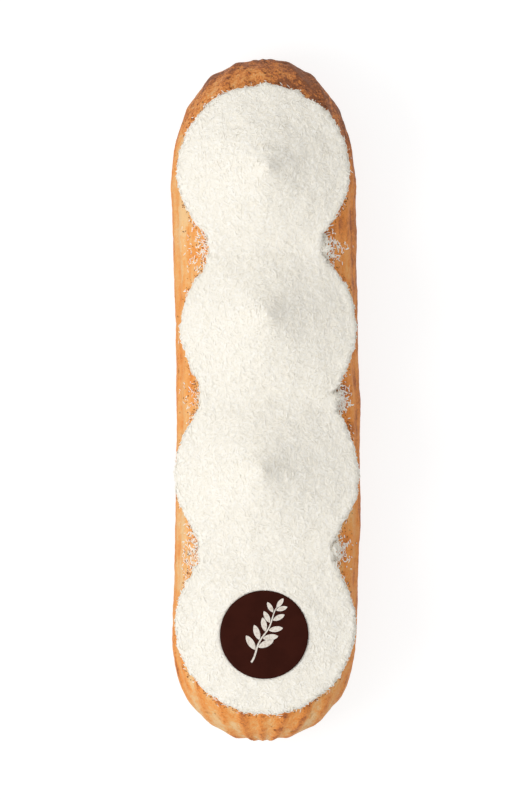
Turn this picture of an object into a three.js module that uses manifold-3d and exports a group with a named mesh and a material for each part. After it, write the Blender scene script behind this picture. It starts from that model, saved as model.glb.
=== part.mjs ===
// An eclair: a finger of ridged choux pastry with four piped cream dollops in a row along its top.
// The dollops are coated in shredded coconut, and the one at the near end carries a thin round of chocolate.
// Millimetres, +Z up, the length along Y with the chocolate towards -Y, the origin in the middle of the base.
import * as THREE from "three";
import { mergeVertices } from "three/addons/utils/BufferGeometryUtils.js";
import Module from "manifold-3d";

// Choux finger
const LENGTH = 150;
const HALF_WIDTH = 19.9;
const HEIGHT = 28;
const WAIST = 11.8; // height of the widest line of the cross-section
const BELLY = 14.4; // deeper than the waist is high, so that the base cuts the section flat
const FAR_CAP = 29.6; // length of the rounded end at +Y
const NEAR_CAP = 22.7; // length of the rounded end at -Y
const CAP_POWER = 2.22; // roundness of the ends in plan
const CROWN_CAP_POWER = 2.4; // roundness of the ends seen from the side, above the waist
const BELLY_CAP_POWER = 4; // the same below the waist
const CROWN_POWER = 2.5; // squareness of the section above the waist
const BELLY_POWER = 2.5; // the same below the waist
const SWAY = { size: 0.64, period: 148, crest: -8.6 }; // sideways wander of the middle line
const SWELL = { size: 0.14, period: 86, crest: -27 }; // slow change of the half width
const RIDGES = 24; // left by the teeth of the piping nozzle
const RIDGE_HEIGHT = 0.4;
const RIDGE_SHARPNESS = 1.5;
const RIDGE_GATHER = 0.5; // how much the ridges draw together over the ends: 0 keeps them parallel in plan
const SIDE_LIFT = [0.35, 0.75]; // shares of the section's height between which the side's ridges end
const SIDE_FULLNESS = [0.75, 0.95]; // shares of the full width between which they start
const HALF_LENGTH = LENGTH / 2 - RIDGE_HEIGHT; // of the finger without its ridges
const CRUST_MESH = { columns: 4 * RIDGES, capRows: 8, bodyRows: 8 };

// Cream dollops, from the far end to the near end: centre, radius, rise over the rim, place of the tip
const DOLLOPS = [
  { x: -0.4, y: 50.3, radius: 18.7, rise: 8.5, tip: { x: 0.6, y: 50.9 } },
  { x: 0.7, y: 15.7, radius: 19.1, rise: 8.5, tip: { x: 0.4, y: 18.6 } },
  { x: 0.3, y: -16.2, radius: 20, rise: 8.5, tip: { x: -0.7, y: -15.5 } },
  { x: 0, y: -49.4, radius: 19.6, rise: 4.2, tip: null },
];
const NECK_BLEND = 8.8; // how softly one dollop's outline runs into the next
const RISE_BLEND = 1.2; // the same for their heights
const FLANK_POWER = 1.2; // 1 for straight flanks, more for hollow ones that are steeper near the top
const TIP_HEIGHT = 1.8;
const TIP_SPREAD = 3.4;
const TIP_POWER = 1.3;
const RIM = { height: 0.8, width: 0.6 }; // rounding of a dollop's edge
const EDGE_DROP = 0.2; // depth of a dollop's widest line under the crust's height further in
const EDGE_TUCK = { x: 0.45, y: 0.88 }; // place where that height is counted from, as a share of the way out
const FOOT = { inset: 3, depth: 1, steps: 3 }; // a dollop curves in below its widest line to a sunk foot
const CORE_DEPTH = 5; // depth of the middle of the uncut foot in the crust
const LUMP = { size: 0.16, period: 5.5, stretchX: 0.6, stretchY: 0.9, twist: 1.5 }; // low waves in the cream
const SPOKES = 40;
const RINGS = 11;
const REACH_SPARE = 3; // overlap of neighbouring dollops before they are parted at the neck
const REACH_HALVINGS = 30; // steps of the search for a dollop's edge
const CLEARANCE = 0.45; // radial room between a dollop's underside and the crust's ridges
const ROOM_MESH = { columns: 36, capRows: 8, bodyRows: 8 };
const NECK_GAP = 0.3; // room between two neighbouring dollops

// Chocolate round
const DISC = { x: -0.3, y: -51.5, radius: 9.7, thickness: 1.1, edge: 0.3, rise: 29.8 };
const DISC_TILT = THREE.MathUtils.degToRad(1.5); // the near side lies lower
const DISC_SEGMENTS = 48;
const POCKET = { clearance: 0.3, height: 8, segments: 32 }; // room in the cream for the round, open above

// Coconut shreds large enough to stand out of the coating
const SHRED = { shortest: 2.2, longest: 3.7, width: 0.85, thickness: 0.7, proud: 0.12 };
const SHREDS_PER_DOLLOP = 26;
const SHRED_SPREAD = 0.86; // share of a dollop's radius that they cover
const SHRED_KEEP_CLEAR = 2.6; // distance from a neck, the round or the dollop's edge
const SHRED_LEAN = 0.25;
const SLOPE_STEP = 0.4; // half the distance over which the lie of a surface is measured
const SEED = 20;

// Shreds fallen on the crust beside each neck, at a distance from the cream's edge
const LOOSE = { perNotch: 4, span: 6.4, nearest: 1.7, furthest: 3.3, length: 2.4, turn: 0.5 };
const LOOSE_STEP = 0.1; // steps of the search outwards for such a distance

const FINISHES = {
  crust: { color: 0xc98a4b, roughness: 0.65, metalness: 0 },
  cream: { color: 0xf4efe1, roughness: 0.85, metalness: 0 },
  chocolate: { color: 0x2c120c, roughness: 0.4, metalness: 0 },
};

const MERGE_DISTANCE = 1e-4; // points closer than this are one
const TINY = 1e-6;

const wasm = await Module();
wasm.setup();

// Small helpers for curves

const wave = ({ size, period, crest }, y) => size * Math.cos((2 * Math.PI * (y - crest)) / period);
const squircle = (t, power) => Math.pow(Math.max(0, 1 - Math.pow(Math.abs(t), power)), 1 / power);

// The lesser of two values, rounded off where they meet.
function softMin(a, b, blend) {
  const overlap = Math.max(blend - Math.abs(a - b), 0) / blend;
  return Math.min(a, b) - (overlap * overlap * blend) / 4;
}

// A repeatable stream of numbers from 0 to 1.
function makeRandom(seed) {
  let state = seed;
  return () => {
    state = (state + 0x6d2b79f5) | 0;
    let t = Math.imul(state ^ (state >>> 15), 1 | state);
    t = (t + Math.imul(t ^ (t >>> 7), 61 | t)) ^ t;
    return ((t ^ (t >>> 14)) >>> 0) / 4294967296;
  };
}

// Solids from closed geometry, and back

function toSolid(geometry) {
  const bare = geometry.clone();
  bare.deleteAttribute("normal");
  bare.deleteAttribute("uv");
  const merged = mergeVertices(bare, MERGE_DISTANCE);
  const vertProperties = merged.attributes.position.array;
  return new wasm.Manifold(
    new wasm.Mesh({ numProp: 3, vertProperties, triVerts: new Uint32Array(merged.index.array) }),
  );
}

function toGeometry(solid) {
  const { vertProperties, triVerts } = solid.getMesh();
  const geometry = new THREE.BufferGeometry();
  geometry.setAttribute("position", new THREE.BufferAttribute(vertProperties, 3));
  geometry.setIndex(new THREE.BufferAttribute(triVerts, 1));
  geometry.computeVertexNormals();
  return geometry;
}

// Choux finger

// How far station y lies into a rounded end: 0 along the middle, 1 at a tip.
function intoCap(y) {
  const far = (y - HALF_LENGTH + FAR_CAP) / FAR_CAP;
  const near = (-y - HALF_LENGTH + NEAR_CAP) / NEAR_CAP;
  return Math.min(1, Math.max(0, far, near));
}

const middleX = (y) => wave(SWAY, y);
const fullness = (y) => squircle(intoCap(y), CAP_POWER);
const halfWidth = (y) => (HALF_WIDTH + wave(SWELL, y)) * fullness(y);
const crown = (y) => (HEIGHT - WAIST) * squircle(intoCap(y), CROWN_CAP_POWER);
const belly = (y) => BELLY * squircle(intoCap(y), BELLY_CAP_POWER);

// Height of the crust's upper side, ridges aside.
function crustTop(x, y) {
  const across = Math.min(1, Math.abs(x - middleX(y)) / Math.max(halfWidth(y), TINY));
  return WAIST + crown(y) * squircle(across, CROWN_POWER);
}

const sectionPower = (angle) => (Math.sin(angle) >= 0 ? CROWN_POWER : BELLY_POWER);

// Radius of the section, drawn one unit wide and high, at an angle counted from +X towards +Z.
function sectionRadius(angle) {
  const power = sectionPower(angle);
  return Math.pow(Math.abs(Math.cos(angle)) ** power + Math.abs(Math.sin(angle)) ** power, -1 / power);
}

// Height of a ridge, from 0 to 1, where the section is crossed at a share of its half width.
function ridgeTooth(across, power) {
  const turned = Math.atan2(squircle(across, power), across);
  return 0.5 + 0.5 * Math.cos(RIDGES * (turned - Math.PI / 2));
}

// Outward rise of the ridges. Those on top run on over the ends, those along the sides end at the corners.
function ridgeRise(y, angle) {
  const radius = sectionRadius(angle);
  const power = sectionPower(angle);
  const across = Math.cos(angle) * radius;
  const overEnds = ridgeTooth(across * fullness(y) ** (1 - RIDGE_GATHER), power);
  const alongSide = ridgeTooth(across, power);
  const low = 1 - THREE.MathUtils.smoothstep(Math.abs(Math.sin(angle)) * radius, ...SIDE_LIFT);
  const side = low * THREE.MathUtils.smoothstep(fullness(y), ...SIDE_FULLNESS);
  return RIDGE_HEIGHT * THREE.MathUtils.lerp(overEnds, alongSide, side) ** RIDGE_SHARPNESS;
}

// A point at station y and at an angle round the section, proud of the smooth crust by a rise.
function crustPoint(y, angle, rise) {
  const side = Math.cos(angle);
  const up = Math.sin(angle);
  const radius = sectionRadius(angle);
  const endwise = (intoCap(y) * HALF_WIDTH) / (y > 0 ? FAR_CAP : -NEAR_CAP);
  const outward = new THREE.Vector3(side * fullness(y), endwise, up * fullness(y)).setLength(rise);
  const x = middleX(y) + side * halfWidth(y) * radius;
  const z = WAIST + up * (up >= 0 ? crown(y) : belly(y)) * radius;
  const point = new THREE.Vector3(x, y, z).add(outward);
  return point.setZ(Math.max(0, point.z));
}

// Station of a row of points, close together round the ends and wide apart along the middle.
function rowStation(row, { capRows, bodyRows }) {
  const farEnd = HALF_LENGTH - FAR_CAP;
  const nearEnd = NEAR_CAP - HALF_LENGTH;
  const lastRow = 2 * capRows + bodyRows;
  const turn = (count) => (Math.PI / 2) * (count / capRows);
  if (row <= capRows) return farEnd + FAR_CAP * Math.cos(turn(row));
  if (row >= lastRow - capRows) return nearEnd - NEAR_CAP * Math.cos(turn(lastRow - row));
  return THREE.MathUtils.lerp(farEnd, nearEnd, (row - capRows) / bodyRows);
}

// The finger is a sphere whose poles become the two tips, with a rise that varies over it.
function fingerSolid(mesh, rise) {
  const geometry = new THREE.SphereGeometry(1, mesh.columns, 2 * mesh.capRows + mesh.bodyRows);
  const position = geometry.attributes.position;
  for (let i = 0; i < position.count; i++) {
    const row = Math.floor(i / (mesh.columns + 1));
    const column = i % (mesh.columns + 1) % mesh.columns;
    const y = rowStation(row, mesh);
    const angle = Math.PI - (2 * Math.PI * column) / mesh.columns;
    position.setXYZ(i, ...crustPoint(y, angle, rise(y, angle)));
  }
  return toSolid(geometry);
}

// Cream dollops

// Station of the neck between one dollop and the next towards -Y, where both outlines are equally near.
function neckStation(far, near) {
  return (far.y + near.y - far.radius + near.radius) / 2;
}

const NECKS = DOLLOPS.slice(1).map((near, i) => neckStation(DOLLOPS[i], near));

// Distance in plan to the outline of the joined dollops, negative inside it.
function creamEdge(x, y) {
  const edges = DOLLOPS.map((d) => Math.hypot(x - d.x, y - d.y) - d.radius);
  return edges.reduce((a, b) => softMin(a, b, NECK_BLEND));
}

// How far out a point lies on the way from a dollop's top, at 0, to its round outline, at 1.
function outShare(dollop, x, y) {
  const top = dollop.tip ?? dollop;
  const way = new THREE.Vector2(x - top.x, y - top.y);
  const shift = new THREE.Vector2(top.x - dollop.x, top.y - dollop.y);
  if (way.length() < TINY) return 0;
  const along = shift.dot(way);
  const root = Math.sqrt(along ** 2 + way.lengthSq() * (dollop.radius ** 2 - shift.lengthSq()));
  return way.lengthSq() / (root - along);
}

// Level of a dollop's flank, from -1 at its top to 0 at its outline, and positive outside it.
const flankDrop = (share) => (share < 1 ? -((1 - share) ** FLANK_POWER) : share - 1);

// Height of the dollops' cones over their rims.
function coneRise(x, y) {
  const drops = DOLLOPS.map((d) => d.rise * flankDrop(outShare(d, x, y)));
  return Math.max(0, -drops.reduce((a, b) => softMin(a, b, RISE_BLEND)));
}

function tipRise(x, y) {
  const tips = DOLLOPS.filter((d) => d.tip).map((d) => Math.hypot(x - d.tip.x, y - d.tip.y) / TIP_SPREAD);
  return TIP_HEIGHT * tips.reduce((rise, r) => rise + Math.exp(-(r ** TIP_POWER)), 0);
}

function lumps(x, y) {
  const turns = (2 * Math.PI) / LUMP.period;
  const first = Math.sin(turns * x + LUMP.twist * Math.sin(LUMP.stretchX * turns * y));
  const second = Math.sin(LUMP.stretchY * turns * y + LUMP.twist * Math.cos(LUMP.stretchX * turns * x));
  return LUMP.size * first * second;
}

// Height of the cream's upper side, the round's pocket aside.
function creamTop(x, y) {
  const under = crustTop(middleX(y) + EDGE_TUCK.x * (x - middleX(y)), EDGE_TUCK.y * y);
  const inward = Math.min(1, Math.max(0, -creamEdge(x, y) / RIM.width));
  const rim = RIM.height * Math.sqrt(1 - (1 - inward) ** 2);
  return under - EDGE_DROP + rim + coneRise(x, y) + tipRise(x, y) + lumps(x, y) * inward;
}

// How far a dollop reaches from its centre in one direction: to the outline, or past a neck.
function reachOf(dollop, centre, direction) {
  let inside = 0;
  let outside = dollop.radius + REACH_SPARE;
  const edgeAt = (r) => creamEdge(centre.x + r * direction.x, centre.y + r * direction.y);
  if (edgeAt(outside) < 0) return outside;
  for (let step = 0; step < REACH_HALVINGS; step++) {
    const middle = (inside + outside) / 2;
    if (edgeAt(middle) < 0) inside = middle;
    else outside = middle;
  }
  return inside;
}

// A point on the side of a dollop below its widest line, on the way (0 to 1) down and in to its foot.
function sidePoint(centre, direction, reach, way) {
  const at = (r) => [centre.x + r * direction.x, centre.y + r * direction.y];
  const turn = (Math.PI / 2) * way;
  const widest = creamTop(...at(reach));
  const foot = Math.min(widest, crustTop(...at(reach - FOOT.inset)) - FOOT.depth);
  const level = THREE.MathUtils.lerp(widest, foot, Math.sin(turn));
  return new THREE.Vector3(...at(reach - FOOT.inset * (1 - Math.cos(turn))), level);
}

// The uncut dollop: rings from its top to its widest line, then down its side to a foot in the crust.
function dollopSolid(dollop) {
  const centre = dollop.tip ?? dollop;
  const profile = [new THREE.Vector2(0, -CORE_DEPTH)];
  for (let k = FOOT.steps; k > 0; k--) {
    profile.push(new THREE.Vector2(1, -k / FOOT.steps));
  }
  for (let k = RINGS; k >= 0; k--) {
    profile.push(new THREE.Vector2(0.5 - 0.5 * Math.cos((Math.PI * k) / RINGS), 0));
  }
  const geometry = new THREE.LatheGeometry(profile, SPOKES).rotateX(Math.PI / 2);
  const position = geometry.attributes.position;
  for (let i = 0; i < position.count; i++) {
    const spot = new THREE.Vector2(position.getX(i), position.getY(i));
    const below = -position.getZ(i);
    const share = spot.length();
    const reach = share > TINY ? reachOf(dollop, centre, spot.normalize()) : 0;
    const point = new THREE.Vector3(centre.x + share * reach * spot.x, centre.y + share * reach * spot.y, 0);
    if (below < TINY) point.setZ(creamTop(point.x, point.y));
    else if (share > TINY) point.copy(sidePoint(centre, spot, reach, below));
    else point.setZ(crustTop(point.x, point.y) - CORE_DEPTH);
    position.setXYZ(i, ...point);
  }
  return toSolid(geometry);
}

// The slab of space between a dollop's two necks.
function slabSolid(index) {
  const high = index > 0 ? NECKS[index - 1] - NECK_GAP / 2 : LENGTH;
  const low = index < NECKS.length ? NECKS[index] + NECK_GAP / 2 : -LENGTH;
  return toSolid(new THREE.BoxGeometry(LENGTH, high - low, LENGTH).translate(0, (high + low) / 2, 0));
}

// Coconut shreds

const random = makeRandom(SEED);
const between = (low, high) => low + (high - low) * random();

// A shred lying half sunk in a surface, turned to a heading and leaning a little.
function shredSolid(x, y, surface, length, heading) {
  const slopeX = (surface(x + SLOPE_STEP, y) - surface(x - SLOPE_STEP, y)) / (2 * SLOPE_STEP);
  const slopeY = (surface(x, y + SLOPE_STEP) - surface(x, y - SLOPE_STEP)) / (2 * SLOPE_STEP);
  const normal = new THREE.Vector3(-slopeX, -slopeY, 1).normalize();
  const lie = new THREE.Quaternion().setFromUnitVectors(new THREE.Vector3(0, 0, 1), normal);
  const turned = new THREE.Euler(0, between(-SHRED_LEAN, SHRED_LEAN), heading, "ZYX");
  lie.multiply(new THREE.Quaternion().setFromEuler(turned));
  const place = new THREE.Vector3(x, y, surface(x, y)).addScaledVector(normal, SHRED.proud);
  const strip = new THREE.BoxGeometry(length, SHRED.width, SHRED.thickness);
  return toSolid(strip.applyMatrix4(new THREE.Matrix4().compose(place, lie, new THREE.Vector3(1, 1, 1))));
}

const clearOfNecks = (y) => NECKS.every((neck) => Math.abs(y - neck) > SHRED_KEEP_CLEAR);
const clearOfDisc = (x, y) => Math.hypot(x - DISC.x, y - DISC.y) > DISC.radius + SHRED_KEEP_CLEAR;

// Shreds spread evenly over a dollop along a sunflower spiral.
function coatingShreds(dollop) {
  const goldenAngle = Math.PI * (3 - Math.sqrt(5));
  const shreds = [];
  for (let k = 0; k < SHREDS_PER_DOLLOP; k++) {
    const radius = SHRED_SPREAD * dollop.radius * Math.sqrt((k + 0.5) / SHREDS_PER_DOLLOP);
    const x = dollop.x + radius * Math.cos(k * goldenAngle);
    const y = dollop.y + radius * Math.sin(k * goldenAngle);
    const length = between(SHRED.shortest, SHRED.longest);
    const heading = between(0, Math.PI);
    const deepEnough = creamEdge(x, y) < -SHRED_KEEP_CLEAR;
    if (deepEnough && clearOfNecks(y) && clearOfDisc(x, y)) {
      shreds.push(shredSolid(x, y, creamTop, length, heading));
    }
  }
  return shreds;
}

// Shreds fallen on the crust in the notches on both sides of each neck, lying roughly along the finger.
function looseShreds() {
  const shreds = [];
  for (const neck of NECKS) {
    for (const side of [-1, 1]) {
      for (let k = 0; k < LOOSE.perNotch; k++) {
        const y = neck + LOOSE.span * ((k + 0.5) / LOOSE.perNotch - 0.5);
        const gap = between(LOOSE.nearest, LOOSE.furthest);
        const heading = Math.PI / 2 + between(-LOOSE.turn, LOOSE.turn);
        let across = 0;
        while (creamEdge(middleX(y) + side * across, y) < gap) across += LOOSE_STEP;
        shreds.push(shredSolid(middleX(y) + side * across, y, crustTop, LOOSE.length, heading));
      }
    }
  }
  return shreds;
}

// Chocolate round

// A flat round with softly broken edges, turned about its own middle.
function discGeometry() {
  const { radius, thickness, edge } = DISC;
  const outline = [
    [0, 0],
    [radius - edge, 0],
    [radius, edge],
    [radius, thickness - edge],
    [radius - edge, thickness],
    [0, thickness],
  ];
  return new THREE.LatheGeometry(
    outline.map(([r, h]) => new THREE.Vector2(r, h)),
    DISC_SEGMENTS,
  ).rotateX(Math.PI / 2);
}

function pocketSolid() {
  const radius = DISC.radius + POCKET.clearance;
  const pocket = new THREE.CylinderGeometry(radius, radius, POCKET.height, POCKET.segments);
  pocket.rotateX(Math.PI / 2);
  pocket.translate(0, 0, POCKET.height / 2 - POCKET.clearance).rotateX(DISC_TILT);
  return toSolid(pocket.translate(DISC.x, DISC.y, DISC.rise));
}

// The whole eclair

function namedMesh(name, geometry, finish) {
  const mesh = new THREE.Mesh(geometry, new THREE.MeshStandardMaterial(finish));
  mesh.name = name;
  return mesh;
}

const eclair = new THREE.Group();

const finger = fingerSolid(CRUST_MESH, ridgeRise);
const pastry = looseShreds().reduce((solid, shred) => solid.add(shred), finger);
eclair.add(namedMesh("choux_finger", toGeometry(pastry), FINISHES.crust));

const room = fingerSolid(ROOM_MESH, () => RIDGE_HEIGHT + CLEARANCE).add(pocketSolid());
DOLLOPS.forEach((dollop, index) => {
  const mound = dollopSolid(dollop).subtract(room).intersect(slabSolid(index));
  const coated = coatingShreds(dollop).reduce((solid, shred) => solid.add(shred), mound);
  eclair.add(namedMesh(`cream_dollop_${index + 1}`, toGeometry(coated), FINISHES.cream));
});

const round = namedMesh("chocolate_round", discGeometry(), FINISHES.chocolate);
round.position.set(DISC.x, DISC.y, DISC.rise);
round.rotation.x = DISC_TILT;
eclair.add(round);

export default eclair;
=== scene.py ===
"""An eclair: ridged choux pastry, four coconut-coated cream dollops and a round of dark chocolate.

Shapes are worked out in millimetres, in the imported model's frame. Each finished mesh is turned to metres.
"""

import logging
import math
from collections.abc import Iterable, Mapping, Sequence
from dataclasses import dataclass, field
from enum import Enum
from typing import Any

import bmesh
import bpy
import numpy as np
from mathutils import Matrix, Vector, noise
from mathutils.bvhtree import BVHTree


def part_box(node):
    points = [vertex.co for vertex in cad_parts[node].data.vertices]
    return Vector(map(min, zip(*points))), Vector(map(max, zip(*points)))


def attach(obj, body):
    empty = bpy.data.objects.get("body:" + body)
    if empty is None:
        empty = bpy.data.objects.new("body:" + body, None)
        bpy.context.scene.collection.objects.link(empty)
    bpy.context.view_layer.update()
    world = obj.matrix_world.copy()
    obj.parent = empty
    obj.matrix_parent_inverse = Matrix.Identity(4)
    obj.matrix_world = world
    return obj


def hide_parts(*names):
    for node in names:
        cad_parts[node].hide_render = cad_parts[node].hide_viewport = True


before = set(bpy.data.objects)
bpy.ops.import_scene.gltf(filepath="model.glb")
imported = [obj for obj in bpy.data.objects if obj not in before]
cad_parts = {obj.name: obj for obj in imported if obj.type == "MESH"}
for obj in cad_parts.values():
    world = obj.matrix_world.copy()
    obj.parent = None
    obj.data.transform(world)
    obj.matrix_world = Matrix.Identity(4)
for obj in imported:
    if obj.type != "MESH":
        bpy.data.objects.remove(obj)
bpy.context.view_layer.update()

Array = np.ndarray
Colour = tuple[float, float, float]
Scale = tuple[float, float, float]
Span = tuple[float, float]

MM = 0.001
TINY = 1e-6
BODY = "root"
WHITE: Colour = (1.0, 1.0, 1.0)

logging.basicConfig(level=logging.INFO, format="%(name)s: %(message)s")
log = logging.getLogger("eclair")


# Curves and noise


def squircle(t: Array, power: float) -> Array:
    """Height of a superellipse one unit wide and high.

    Args:
        t: Places across it, from -1 to 1.
        power: 2 for an ellipse, more for a squarer form.

    Returns:
        The height at each place, 0 outside.
    """
    return np.maximum(0.0, 1.0 - np.abs(t) ** power) ** (1.0 / power)


def soft_min(a: Array, b: Array, rounding: float) -> Array:
    """The lesser of two values, rounded off where they meet.

    Args:
        a: First values.
        b: Second values.
        rounding: Difference within which the corner is rounded.

    Returns:
        The rounded minimum.
    """
    overlap = np.maximum(rounding - np.abs(a - b), 0.0) / rounding
    return np.minimum(a, b) - overlap**2 * rounding / 4.0


def smooth_step(low: float, high: float, t: Array) -> Array:
    """A smooth change from 0 at low to 1 at high.

    Args:
        low: Where the change starts.
        high: Where it ends.
        t: Places to read.

    Returns:
        Values from 0 to 1.
    """
    share = np.clip((t - low) / (high - low), 0.0, 1.0)
    return share * share * (3.0 - 2.0 * share)


def blend(span: Span, share: "Array | Wire") -> "Array | Wire":
    """A value between the ends of a span.

    Args:
        span: The values at a share of 0 and of 1.
        share: Where to read, as numbers or as a value in a material.

    Returns:
        The value at each share.
    """
    first, last = span
    return first + (last - first) * share


def unit(vectors: Array) -> Array:
    """Rows of vectors, each brought to length 1."""
    return vectors / np.linalg.norm(vectors, axis=1, keepdims=True)


@dataclass(frozen=True)
class Wave:
    """A slow cosine along the eclair: its size, its period and the place of one crest."""

    size: float
    period: float
    crest: float

    def at(self, y: Array) -> Array:
        """The wave's height at stations y."""
        return self.size * np.cos(2.0 * math.pi * (y - self.crest) / self.period)


@dataclass(frozen=True)
class Lumps:
    """Smooth noise in space: its size, the grain of one lump and a seed that gives another pattern."""

    size: float
    grain: float
    seed: float

    def at(self, points: Array) -> Array:
        """The noise at rows of x, y and z, from about minus its size to its size."""
        places = (points / self.grain + self.seed).tolist()
        return self.size * np.array([noise.noise(place) for place in places])


@dataclass(frozen=True)
class Change:
    """A value that changes smoothly between two places, from what it is before to what it is after."""

    start: float
    end: float
    before: float = 0.0
    after: float = 1.0

    def at(self, place: Array) -> Array:
        """The value at each place."""
        return blend((self.before, self.after), smooth_step(self.start, self.end, place))


# Shader graphs


class Wire:
    """A value in a material: one output socket, with arithmetic that adds Math nodes."""

    def __init__(self, graph: "Graph", socket: bpy.types.NodeSocket) -> None:
        """Keeps the socket and the graph that it belongs to."""
        self.graph = graph
        self.socket = socket

    def _math(self, operation: str, first: "Wire | float", second: "Wire | float") -> "Wire":
        """Adds a Math node.

        Args:
            operation: The node's operation.
            first: Its first term.
            second: Its second term.

        Returns:
            The result.
        """
        return self.graph.node("ShaderNodeMath", {"operation": operation}, {0: first, 1: second})

    def __add__(self, other: "Wire | float") -> "Wire":
        """Sum."""
        return self._math("ADD", self, other)

    def __radd__(self, other: float) -> "Wire":
        """Sum with a number on the left."""
        return self._math("ADD", other, self)

    def __sub__(self, other: "Wire | float") -> "Wire":
        """Difference."""
        return self._math("SUBTRACT", self, other)

    def __rsub__(self, other: float) -> "Wire":
        """Difference from a number on the left."""
        return self._math("SUBTRACT", other, self)

    def __mul__(self, other: "Wire | float") -> "Wire":
        """Product."""
        return self._math("MULTIPLY", self, other)

    def __rmul__(self, other: float) -> "Wire":
        """Product with a number on the left."""
        return self._math("MULTIPLY", other, self)

    def at_least(self, other: "Wire | float") -> "Wire":
        """The greater of two values."""
        return self._math("MAXIMUM", self, other)

    def eased(self, low: float, high: float) -> "Wire":
        """A smooth change from 0 at low to 1 at high.

        Args:
            low: Where the change starts.
            high: Where it ends.

        Returns:
            The changed value.
        """
        settings = {"interpolation_type": "SMOOTHSTEP"}
        return self.graph.node("ShaderNodeMapRange", settings, {0: self, 1: low, 2: high, 3: 0.0, 4: 1.0})


@dataclass(frozen=True)
class Grain:
    """Noise in a material: a grain's size in millimetres, and the octaves and weight of finer noise."""

    size: float
    detail: float = 2.0
    roughness: float = 0.5


class Graph:
    """The nodes of one material or of the world."""

    def __init__(self, owner: bpy.types.Material | bpy.types.World) -> None:
        """Empties the owner's nodes.

        Args:
            owner: The material or the world.
        """
        owner.use_nodes = True
        self.owner = owner
        self.tree = owner.node_tree
        self.tree.nodes.clear()

    @staticmethod
    def material(name: str) -> "Graph":
        """The graph of a new material of that name."""
        return Graph(bpy.data.materials.new(name))

    def node(
        self,
        kind: str,
        settings: Mapping[str, Any],
        inputs: Mapping[str | int, Any],
        output: str | int = 0,
    ) -> Wire:
        """Adds a node.

        Args:
            kind: Blender's name for the node's type.
            settings: The node's own settings, set first; stops are those of a colour ramp.
            inputs: Values or wires, by the name or number of the socket.
            output: Name or number of the socket that is wanted.

        Returns:
            The wanted output.
        """
        made = self.tree.nodes.new(kind)
        for name, value in settings.items():
            if name == "stops":
                self._set_stops(made.color_ramp, value)
            else:
                setattr(made, name, value)
        for name, value in inputs.items():
            if isinstance(value, Wire):
                self.tree.links.new(value.socket, made.inputs[name])
            else:
                made.inputs[name].default_value = value
        return Wire(self, made.outputs[output])

    @staticmethod
    def _set_stops(ramp: bpy.types.ColorRamp, stops: Sequence[tuple[float, Colour]]) -> None:
        """Gives a colour ramp its stops.

        Args:
            ramp: The ramp, with its two first stops.
            stops: Position and colour of each stop, in order.
        """
        while len(ramp.elements) < len(stops):
            ramp.elements.new(1.0)
        for element, (position, colour) in zip(ramp.elements, stops):
            element.position = position
            element.color = (*colour, 1.0)

    def places(self, scale: Scale = (1.0, 1.0, 1.0)) -> Wire:
        """Object coordinates, stretched along each axis.

        Args:
            scale: Factor along X, Y and Z.

        Returns:
            The coordinates.
        """
        raw = self.node("ShaderNodeTexCoord", {}, {}, "Object")
        return self.node("ShaderNodeMapping", {}, {"Vector": raw, "Scale": scale})

    def attribute(self, name: str) -> Wire:
        """A number stored on the mesh's points."""
        return self.node("ShaderNodeAttribute", {"attribute_name": name}, {}, "Fac")

    def grain(self, places: Wire, grain: Grain) -> Wire:
        """Noise with grains of a real size.

        Args:
            places: Coordinates in metres.
            grain: Size and kind of the noise.

        Returns:
            Values from 0 to 1, mostly near 0.5.
        """
        inputs = {"Vector": places, "Scale": 1.0 / (grain.size * MM)}
        finer = {"Detail": grain.detail, "Roughness": grain.roughness}
        return self.node("ShaderNodeTexNoise", {}, {**inputs, **finer})

    def speckle(self, places: Wire, size: float) -> Wire:
        """Distance to the nearest of points strewn at random.

        Args:
            places: Coordinates in metres.
            size: Usual distance between the points, in millimetres.

        Returns:
            The distance, as a share of that size.
        """
        inputs = {"Vector": places, "Scale": 1.0 / (size * MM)}
        return self.node("ShaderNodeTexVoronoi", {}, inputs, "Distance")

    def ramp(self, value: Wire, stops: Sequence[tuple[float, Colour]]) -> Wire:
        """A colour for each value, from a row of stops."""
        return self.node("ShaderNodeValToRGB", {"stops": stops}, {"Fac": value})

    def mix(self, share: Wire, first: "Wire | Colour", second: "Wire | Colour") -> Wire:
        """A blend of two colours.

        Args:
            share: 0 for the first, 1 for the second.
            first: A colour or a wire that holds one.
            second: The same.

        Returns:
            The blended colour.
        """
        ends = [value if isinstance(value, Wire) else (*value, 1.0) for value in (first, second)]
        settings = {"data_type": "RGBA", "clamp_factor": True}
        # Inputs 6 and 7 and output 2 are the Mix node's sockets for colours.
        return self.node("ShaderNodeMix", settings, {0: share, 6: ends[0], 7: ends[1]}, 2)

    def bump(self, height: Wire, depth: float) -> Wire:
        """A normal that follows a height.

        Args:
            height: The height, from 0 to 1.
            depth: What 1 stands for, in millimetres.

        Returns:
            The normal.
        """
        inputs = {"Strength": 1.0, "Distance": depth * MM, "Height": height}
        return self.node("ShaderNodeBump", {}, inputs, "Normal")

    def finish(self, inputs: Mapping[str, Any]) -> bpy.types.Material:
        """Ends a material's graph with a Principled shader.

        Args:
            inputs: Its sockets, by name.

        Returns:
            The finished material.
        """
        shader = self.node("ShaderNodeBsdfPrincipled", {}, inputs)
        self.close("ShaderNodeOutputMaterial", shader)
        return self.owner

    def close(self, kind: str, shader: Wire) -> None:
        """Links a shader to the output.

        Args:
            kind: Blender's name for the output's type.
            shader: What it shows.
        """
        output = self.tree.nodes.new(kind)
        self.tree.links.new(shader.socket, output.inputs["Surface"])


# Finishes


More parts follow.
